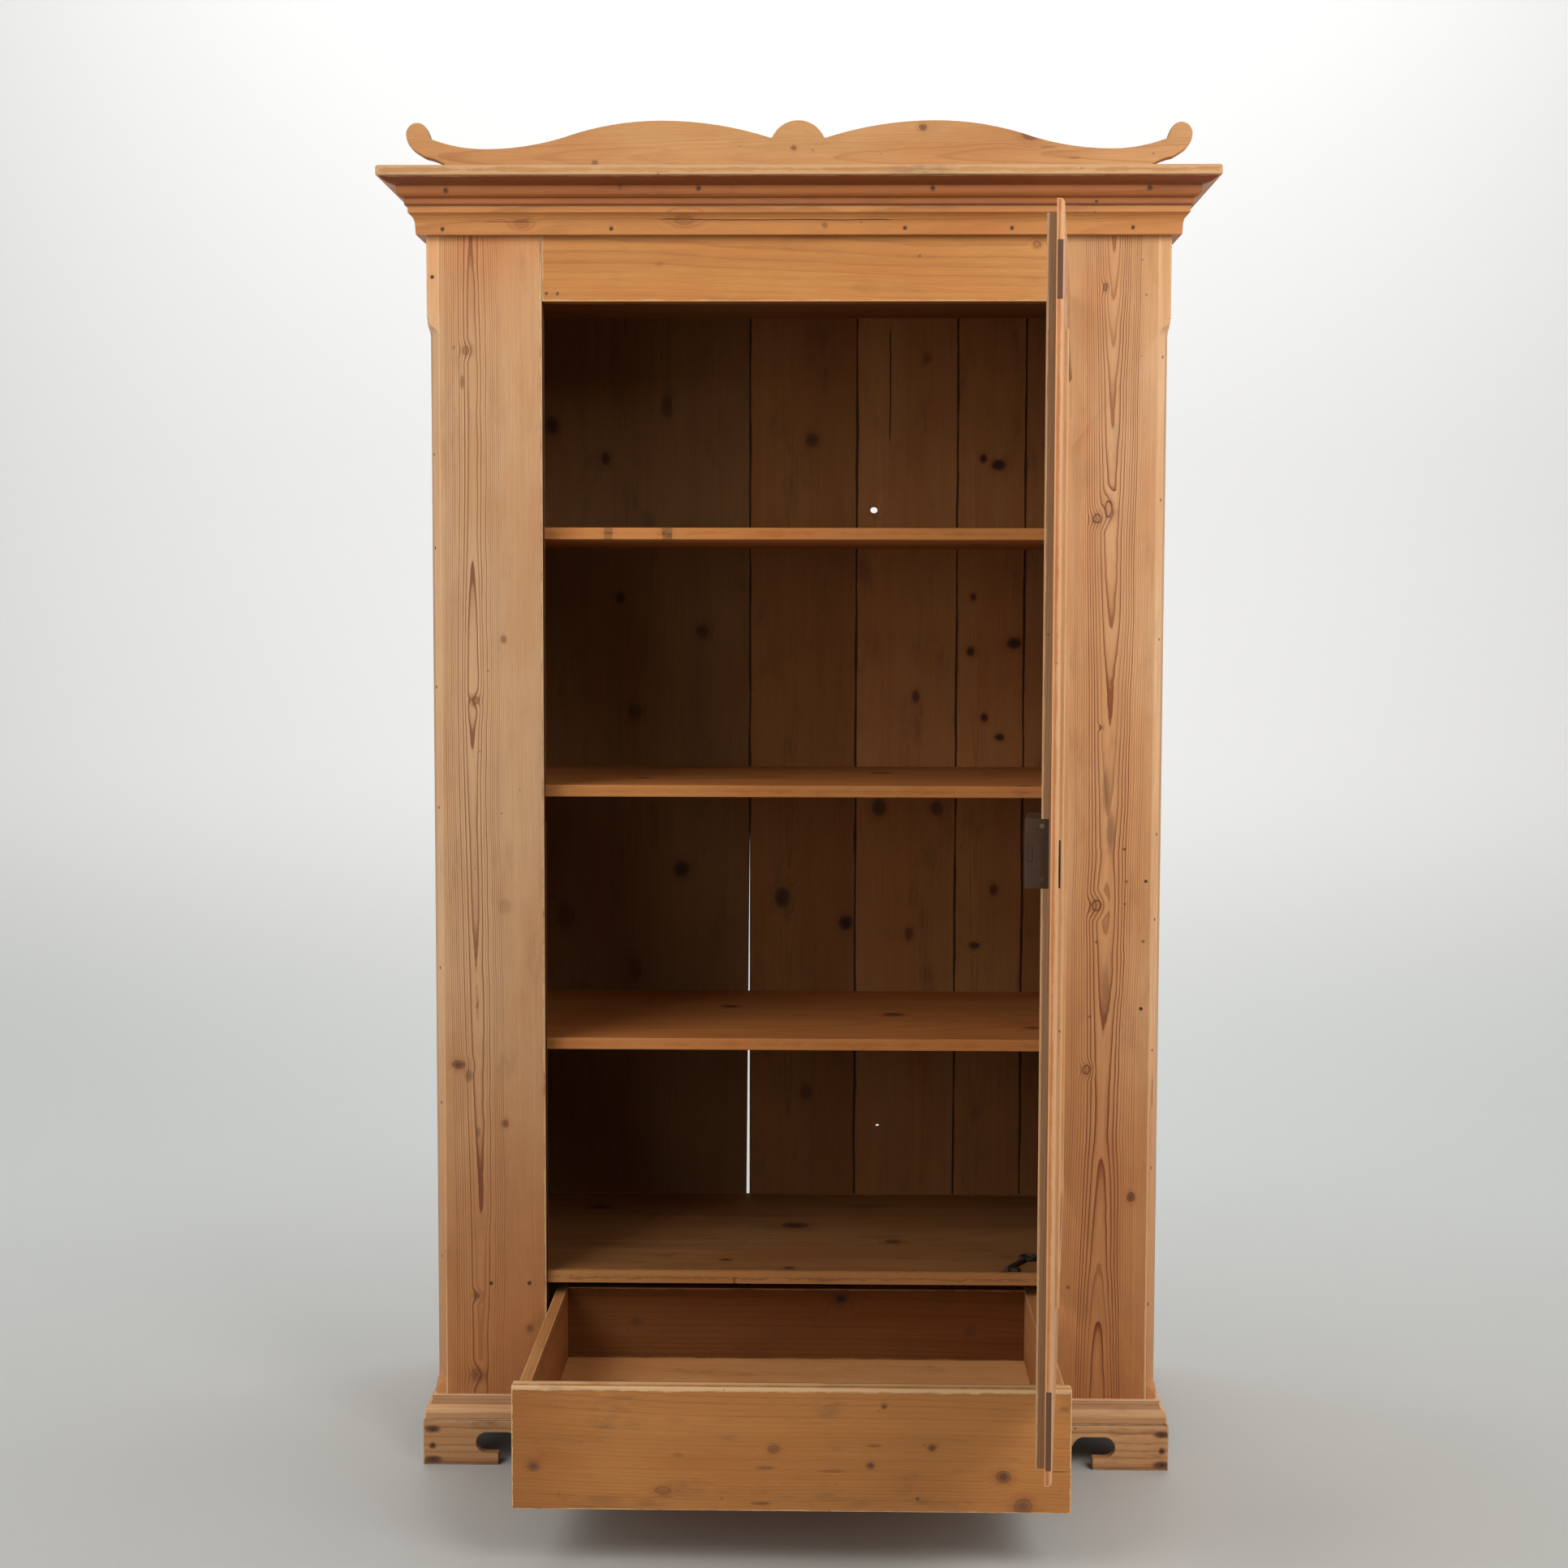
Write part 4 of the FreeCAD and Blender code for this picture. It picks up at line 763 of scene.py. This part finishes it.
# Drawer: a plain waxed front, knotty and worn pale along its top, on bare sides, a back and a
# bottom of thin pine. Dovetails join the sides to the back and the front.
drawer_tone = dict(honey, early=(0.45, 0.18, 0.043), late=(0.3, 0.104, 0.024),
                   worn=(0.78, 0.52, 0.28))
drawer_knots = [
    (-0.31, 0.131, 0.0055, 0.85), (-0.021, 0.155, 0.0045, 0.65, 1.4),
    (0.112, 0.208, 0.0025, 0.9), (0.169, 0.158, 0.0038, 0.9), (0.096, 0.136, 0.0038, 0.9),
    (0.255, 0.123, 0.0072, 0.92), (0.279, 0.087, 0.0085, 0.8, 1.2),
    (-0.154, 0.103, 0.0045, 0.5, 2.0)]
drawer_stains = [
    (0.152, 0.095, 0.0025, 0.7), (-0.03, 0.132, 0.002, 0.5, 6.0),
    (0.05, 0.128, 0.002, 0.4, 7.0), (-0.036, 0.088, 0.002, 0.6, 6.0),
    (0.1, 0.16, 0.0018, 0.5, 5.0), (-0.135, 0.147, 0.0028, 0.25, 2.0),
    (0.327, 0.207, 0.003, 0.4, 2.0), (-0.28, 0.097, 0.0018, 0.4)]
pine_piece(
    "drawer_front", "drawer_front", 0.0018, "XZY", drawer_tone, (0.3, 0.02), body="drawer",
    flat_joined=False, lean=0.012, sway=0.008, lines=0.5, knots=drawer_knots, rims=0.4,
    stains=drawer_stains, calm=even, wear=0.0016, worn=0.8, soil=1.2, shift=271.0, dents=0.8,
    cracks=[(0.3, 0.338, 0.13, 0.0007)],
    tints=[(0, -0.2, -0.34, (0.8, 0.76, 0.7)), (1, 0.2283, 0.2292, (1.24, 1.26, 1.1))],
    arrises=[(0.2293, -0.2581, 0.006), (0.2293, -0.244, 0.006), (0.2293, -0.2371, 0.004)])
bare = dict(dusky, early=(0.46, 0.22, 0.08), late=(0.3, 0.122, 0.038), worn=(0.62, 0.37, 0.17))
# The drawer's back takes a darker copy of the bare pine, as painted shade under the carcase's
# bottom board, and its bottom a paler copy, as painted light.
bare_painted_shade = dict(bare, early=(0.172, 0.062, 0.0135), late=(0.12, 0.042, 0.01))
bare_painted_light = dict(bare, early=(0.74, 0.37, 0.142), late=(0.54, 0.24, 0.082))
for node, ways, heart, knots, shift in (
        ("drawer_left_side", "YZX", (0.28, -0.1), [(-0.15, 0.17, 0.007, 0.8)], 277.0),
        ("drawer_right_side", "YZX", (0.28, 0.1), [(-0.08, 0.15, 0.007, 0.8)], 281.0),
        ("drawer_back", "XZY", (0.3, 0.6), [(0.062, 0.214, 0.0085, 1.0), (-0.22, 0.18, 0.004, 0.6),
                                             (0.24, 0.17, 0.005, 0.6)], 283.0),
        ("drawer_bottom", "XYZ", (-0.05, 0.45), [(-0.13, -0.17, 0.013, 1.0),
                                                 (0.265, -0.02, 0.01, 0.8)], 293.0)):
    look = {"drawer_back": bare_painted_shade, "drawer_bottom": bare_painted_light}.get(node, bare)
    pine_piece(
        node, "drawer_box", 0.001, ways, look, heart, body="drawer", lines=0.55, calm=even,
        knots=knots, rims=0.3, wear=0.002, worn=0.5, soil=0.8, shift=shift)

# Door: a mortised frame with a lapping lip, a thin panel and four planted mouldings. The
# tenons run right through the stiles, so their end grain shows dark at the edges. It is drawn
# in the place where the door stands shut, and turned with it.
hinge_joint = next(joint for joint in frame["joints"] if joint["name"] == "door_hinge")
door_pivot = Vector(hinge_joint["pos_m"])
door_turn = math.radians(abs(hinge_joint["range_deg"][0]))
door_tone = dict(honey, early=(0.56, 0.285, 0.113), late=(0.32, 0.115, 0.035),
                 worn=(0.7, 0.4, 0.2), soil=(0.085, 0.04, 0.022))
# Painted shade: the faces behind the door's front, the edge of its inner layer among them, are
# darkened.
door_inner_shade = (2, 0.116, 0.1168, (0.52, 0.505, 0.5))
lip_edge, inner_edge, inner_face, lip_back = 0.3485, 0.3365, 0.1264, 0.1164
door_front = own_frame("door_lock_stile", door_turn, door_pivot)[0].y
lip_arrises = [
    (-lip_edge, lip_back, 0.0022), (-inner_edge, inner_face, 0.0026),
    (-lip_edge, door_front, 0.0045)]
for node, ways, heart, knots, shift in (
        ("door_lock_stile", "ZXY", (-0.3, 0.2), [(0.55, -0.31, 0.008, 0.8)], 301.0),
        ("door_hinge_stile", "ZXY", (0.3, 0.2), [(1.2, 0.3, 0.007, 0.8)], 307.0),
        ("door_top_rail", "XZY", (1.5, 0.2), [(0.08, 1.52, 0.007, 0.7)], 311.0),
        ("door_bottom_rail", "XZY", (0.3, 0.2), [(-0.12, 0.31, 0.009, 0.8)], 313.0),
        ("door_panel", "ZXY", (0.02, 0.24), [(1.1, 0.08, 0.01, 0.8), (0.72, -0.12, 0.009, 0.8)],
         317.0)):
    reddened = [(ways.index("X"), side * 0.3465, side * 0.348, (0.9, 0.66, 0.54))
                for side in (-1, 1)]
    slot = "door_panel" if node == "door_panel" else "door_frame"
    pine_piece(
        node, slot, 0.0008, ways, door_tone, heart, body="door", lean=0.016, knots=knots,
        wear=0.0011, worn=0.6, turn=door_turn, pivot=door_pivot, shift=shift,
        tints=reddened + [door_inner_shade], end_dark=0.9 if "rail" in node else 0.5,
        arrises=lip_arrises if node == "door_lock_stile" else ())
cover_node("door_panel_moulding", pine(
    "door_panel_moulding", "ZXY", dict(door_tone, early=(0.6, 0.33, 0.145)), (0.0, 0.2),
    lines=0.5, wear=0.003, worn=0.7, turn=door_turn, pivot=door_pivot, shift=331.0))


# Ironwork: a rim lock screwed to the inner face of the door, its bolt, a keeper plate, a keyhole
# plate, two lift-off hinges and a key. All are dull dark iron, brown with rust in patches.
def iron(name, dark, rust, roughness, shift=0.0, metal=0.5):
    """Old iron: dark and pitted, with patches of rust that are duller and rougher."""
    finish = Finish(name)
    place = finish.node("ShaderNodeTexCoord", output="Object")
    patch = finish.noise(place, (55.0, 55.0, 55.0), 5.0, 0.62, shift).fade(0.42, 0.66)
    pit = finish.noise(place, (420.0, 420.0, 420.0), 3.0, 0.6, shift + 2.0)
    colour = finish.mixed(patch, dark, rust)
    colour = finish.mixed(pit.fade(0.55, 0.75) * 0.5, colour, (0.03, 0.022, 0.018))
    finish.feed(finish.shader.inputs["Metallic"], (patch * -0.8 + 1.0) * metal)
    finish.shader.inputs["Specular IOR Level"].default_value = 0.3
    return finish.surface(colour, roughness + patch * 0.25, pit + patch * 0.5, 0.0004)


lock_iron = iron("lock iron", (0.052, 0.024, 0.011), (0.046, 0.018, 0.007), 0.58, metal=0.15)
rivet_iron = iron("rivet iron", (0.24, 0.19, 0.14), (0.12, 0.07, 0.04), 0.4, 2.0)
hinge_iron = iron("hinge iron", (0.17, 0.1, 0.062), (0.13, 0.06, 0.032), 0.55, 4.0, 0.2)
key_iron = iron("key iron", (0.07, 0.06, 0.052), (0.05, 0.03, 0.018), 0.38, 8.0)
for node in ("lock_case", "escutcheon"):
    cover_node(node, lock_iron)
worn_piece("lock_bolt", "bolt", 0.0004, lock_iron)
worn_piece("keeper_plate", "carcase", 0.0003, lock_iron)
for half, body in (("frame", "carcase"), ("door", "door")):
    for place in ("lower", "upper"):
        worn_piece(place + "_hinge_" + half + "_half", body, 0.0002, hinge_iron)
worn_piece("key", "carcase", 0.0004, key_iron)


# Nails and screws: cut nails with small round heads pin the stiles, the sides, the mouldings,
# the plinth and the back. Two slotted screws hold the lock, the upper one rubbed bright.
def head_tree(name, slotted):
    """Geometry Nodes that set an iron head on every point, facing along the point's way."""
    tree = bpy.data.node_groups.new(name, "GeometryNodeTree")
    tree.interface.new_socket("Geometry", in_out="INPUT", socket_type="NodeSocketGeometry")
    for label, start in (("Head radius", 0.002), ("Head rise", 0.0006), ("Slot width", 0.0006)):
        socket = tree.interface.new_socket(label, in_out="INPUT", socket_type="NodeSocketFloat")
        socket.default_value = start
    tree.interface.new_socket("Iron", in_out="INPUT", socket_type="NodeSocketMaterial")
    tree.interface.new_socket("Geometry", in_out="OUTPUT", socket_type="NodeSocketGeometry")
    nodes, link = tree.nodes, tree.links.new

    def add(kind, settings=None, sockets=None):
        made = nodes.new(kind)
        for label, value in (settings or {}).items():
            setattr(made, label, value)
        for key, value in (sockets or {}).items():
            if hasattr(value, "is_output"):
                link(value, made.inputs[key])
            else:
                made.inputs[key].default_value = value
        return made

    def maths(operation, first, second):
        return add("ShaderNodeMath", {"operation": operation}, {0: first, 1: second}).outputs[0]

    def joined(*parts):
        return add("ShaderNodeCombineXYZ", None, dict(enumerate(parts))).outputs[0]

    start, finish = add("NodeGroupInput"), add("NodeGroupOutput")
    radius, rise = start.outputs["Head radius"], start.outputs["Head rise"]
    if slotted:
        disc = add("GeometryNodeMeshCylinder", None, {
            "Vertices": 20, "Radius": radius, "Depth": maths("MULTIPLY", rise, 2.0)})
        bar_size = joined(maths("MULTIPLY", radius, 3.0), start.outputs["Slot width"], rise)
        bar = add("GeometryNodeMeshCube", None, {"Size": bar_size})
        raised = add("GeometryNodeTransform", None, {
            "Geometry": bar.outputs["Mesh"], "Translation": joined(0.0, 0.0, rise)})
        head = add("GeometryNodeMeshBoolean", {"operation": "DIFFERENCE"}, {
            "Mesh 1": disc.outputs["Mesh"], "Mesh 2": raised.outputs[0]}).outputs[0]
    else:
        ball = add("GeometryNodeMeshUVSphere", None, {
            "Segments": 12, "Rings": 8, "Radius": radius})
        head = add("GeometryNodeTransform", None, {
            "Geometry": ball.outputs["Mesh"],
            "Scale": joined(1.0, 1.0, maths("DIVIDE", rise, radius))}).outputs[0]
    way = add("GeometryNodeInputNamedAttribute", {"data_type": "FLOAT_VECTOR"}, {"Name": "way"})
    facing = add("FunctionNodeAlignRotationToVector", {"axis": "Z"},
                 {"Vector": way.outputs["Attribute"]})
    turn = add("FunctionNodeRandomValue", {"data_type": "FLOAT"}, {"Seed": 7})
    turn.inputs[3].default_value = 2.0 * math.pi
    spin = add("FunctionNodeEulerToRotation", None, {0: joined(0.0, 0.0, turn.outputs[1])})
    turned = add("FunctionNodeRotateRotation", {"rotation_space": "LOCAL"},
                 {"Rotation": facing.outputs[0], "Rotate By": spin.outputs[0]})
    size = add("FunctionNodeRandomValue", {"data_type": "FLOAT"}, {"Seed": 11})
    size.inputs[2].default_value, size.inputs[3].default_value = 0.85, 1.15
    points = add("GeometryNodeMeshToPoints", None, {"Mesh": start.outputs["Geometry"]})
    heads = add("GeometryNodeInstanceOnPoints", None, {
        "Points": points.outputs[0], "Instance": head, "Rotation": turned.outputs[0],
        "Scale": size.outputs[1]})
    real = add("GeometryNodeRealizeInstances", None, {"Geometry": heads.outputs[0]})
    add_iron = add("GeometryNodeSetMaterial", None, {"Geometry": real.outputs[0],
                                                     "Material": start.outputs["Iron"]})
    link(add_iron.outputs[0], finish.inputs[0])
    return tree


def iron_heads(name, body, tree, spots, radius, material):
    """Heads on the surfaces that lines from the given starts meet, as one mesh."""
    places, ways = [], []
    for node, start, aim in spots:
        data = frame["nodes"][node].data
        surface = BVHTree.FromPolygons([vertex.co[:] for vertex in data.vertices],
                                       [polygon.vertices[:] for polygon in data.polygons])
        place, normal, _, _ = surface.ray_cast(Vector(start), Vector(aim))
        places.append(place)
        ways.append(normal if normal.dot(Vector(aim)) < 0 else -normal)
    points = bpy.data.meshes.new(name + "_points")
    points.from_pydata(places, [], [])
    way = points.attributes.new("way", "FLOAT_VECTOR", "POINT")
    for item, normal in zip(way.data, ways):
        item.vector = normal
    carrier = bpy.data.objects.new(name + "_points", points)
    scene.collection.objects.link(carrier)
    modifier = carrier.modifiers.new("heads", "NODES")
    modifier.node_group = tree
    values = {"Head radius": radius, "Head rise": head_rise, "Iron": material}
    for socket in tree.interface.items_tree:
        if socket.in_out == "INPUT" and socket.name in values:
            modifier[socket.identifier] = values[socket.name]
    evaluated = carrier.evaluated_get(bpy.context.evaluated_depsgraph_get())
    mesh = bpy.data.meshes.new_from_object(evaluated)
    mesh.name = name
    carrier.modifiers.remove(modifier)
    bpy.data.objects.remove(carrier)
    show_piece(name, mesh, body, head_shaded_angle)


head_rise = 0.0005
nail_radius = 0.0021
screw_radius = 0.0026
head_shaded_angle = math.radians(35.0)
nail_iron = iron("nail iron", (0.085, 0.046, 0.026), (0.105, 0.046, 0.02), 0.6, 12.0)
back_way, left_way, right_way = (0.0, 1.0, 0.0), (-1.0, 0.0, 0.0), (1.0, 0.0, 0.0)
nail_places = {
    "left_stile": [
        (-0.4824, 1.5973), (-0.4853, 1.3661), (-0.4844, 1.242), (-0.4842, 1.0559),
        (-0.4812, 0.8939), (-0.4814, 0.6765), (-0.4811, 0.4922), (-0.482, 0.28),
        (-0.4134, 0.2472), (-0.3615, 0.2476)],
    "right_stile": [
        (0.4822, 1.4943), (0.4817, 1.3066), (0.4821, 1.1218), (0.4824, 0.8612), (0.4809, 0.7467),
        (0.4795, 0.5699), (0.48, 0.409), (0.4779, 0.2227), (0.4669, 0.7996), (0.4626, 0.6278)],
    "bed_moulding_front": bed_nails,
    "crown_moulding_front": [
        (-0.4584, 1.7041), (-0.1286, 1.7058), (0.1747, 1.7065), (0.456, 1.7062),
        (0.388, 1.6903)],
    "plinth_front": [(across, height) for across in (-0.4922, 0.4965)
                     for height in (0.008, 0.0265, 0.049)],
}
nails = [(node, (across, -0.2, height), back_way)
         for node, places in nail_places.items() for across, height in places]
for side, sign, way in (("left", -1.0, right_way), ("right", 1.0, left_way)):
    nails += [(side + "_side", (sign * 1.0, depth, height), way)
              for depth in (0.18, 0.36, 0.54) for height in (0.254, 1.608)]
    nails += [("plinth_" + side, (sign * 1.0, depth, height), way)
              for depth in (0.13, 0.56) for height in (0.01, 0.048)]
for node in back_knots:
    low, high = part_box(node)
    nails += [(node, (low.x + inset * (high.x - low.x), 1.0, height), (0.0, -1.0, 0.0))
              for inset in (0.2, 0.8) for height in (0.085, 0.254, 1.608, 1.7)]
iron_heads("carcase_nails", "carcase", head_tree("nail heads", False), nails, nail_radius,
           nail_iron)
door_way = (0.109734, 0.993961, 0.0)
screw_tree = head_tree("screw heads", True)
for name, x, z, material in (("upper_lock_screw", 0.2647, 0.9334, rivet_iron),
                             ("lower_lock_screw", 0.2652, 0.8782, nail_iron)):
    start = (x - door_way[0] * 0.1, -0.6716, z)
    iron_heads(name, "door", screw_tree, [("lock_case", start, door_way)], screw_radius, material)
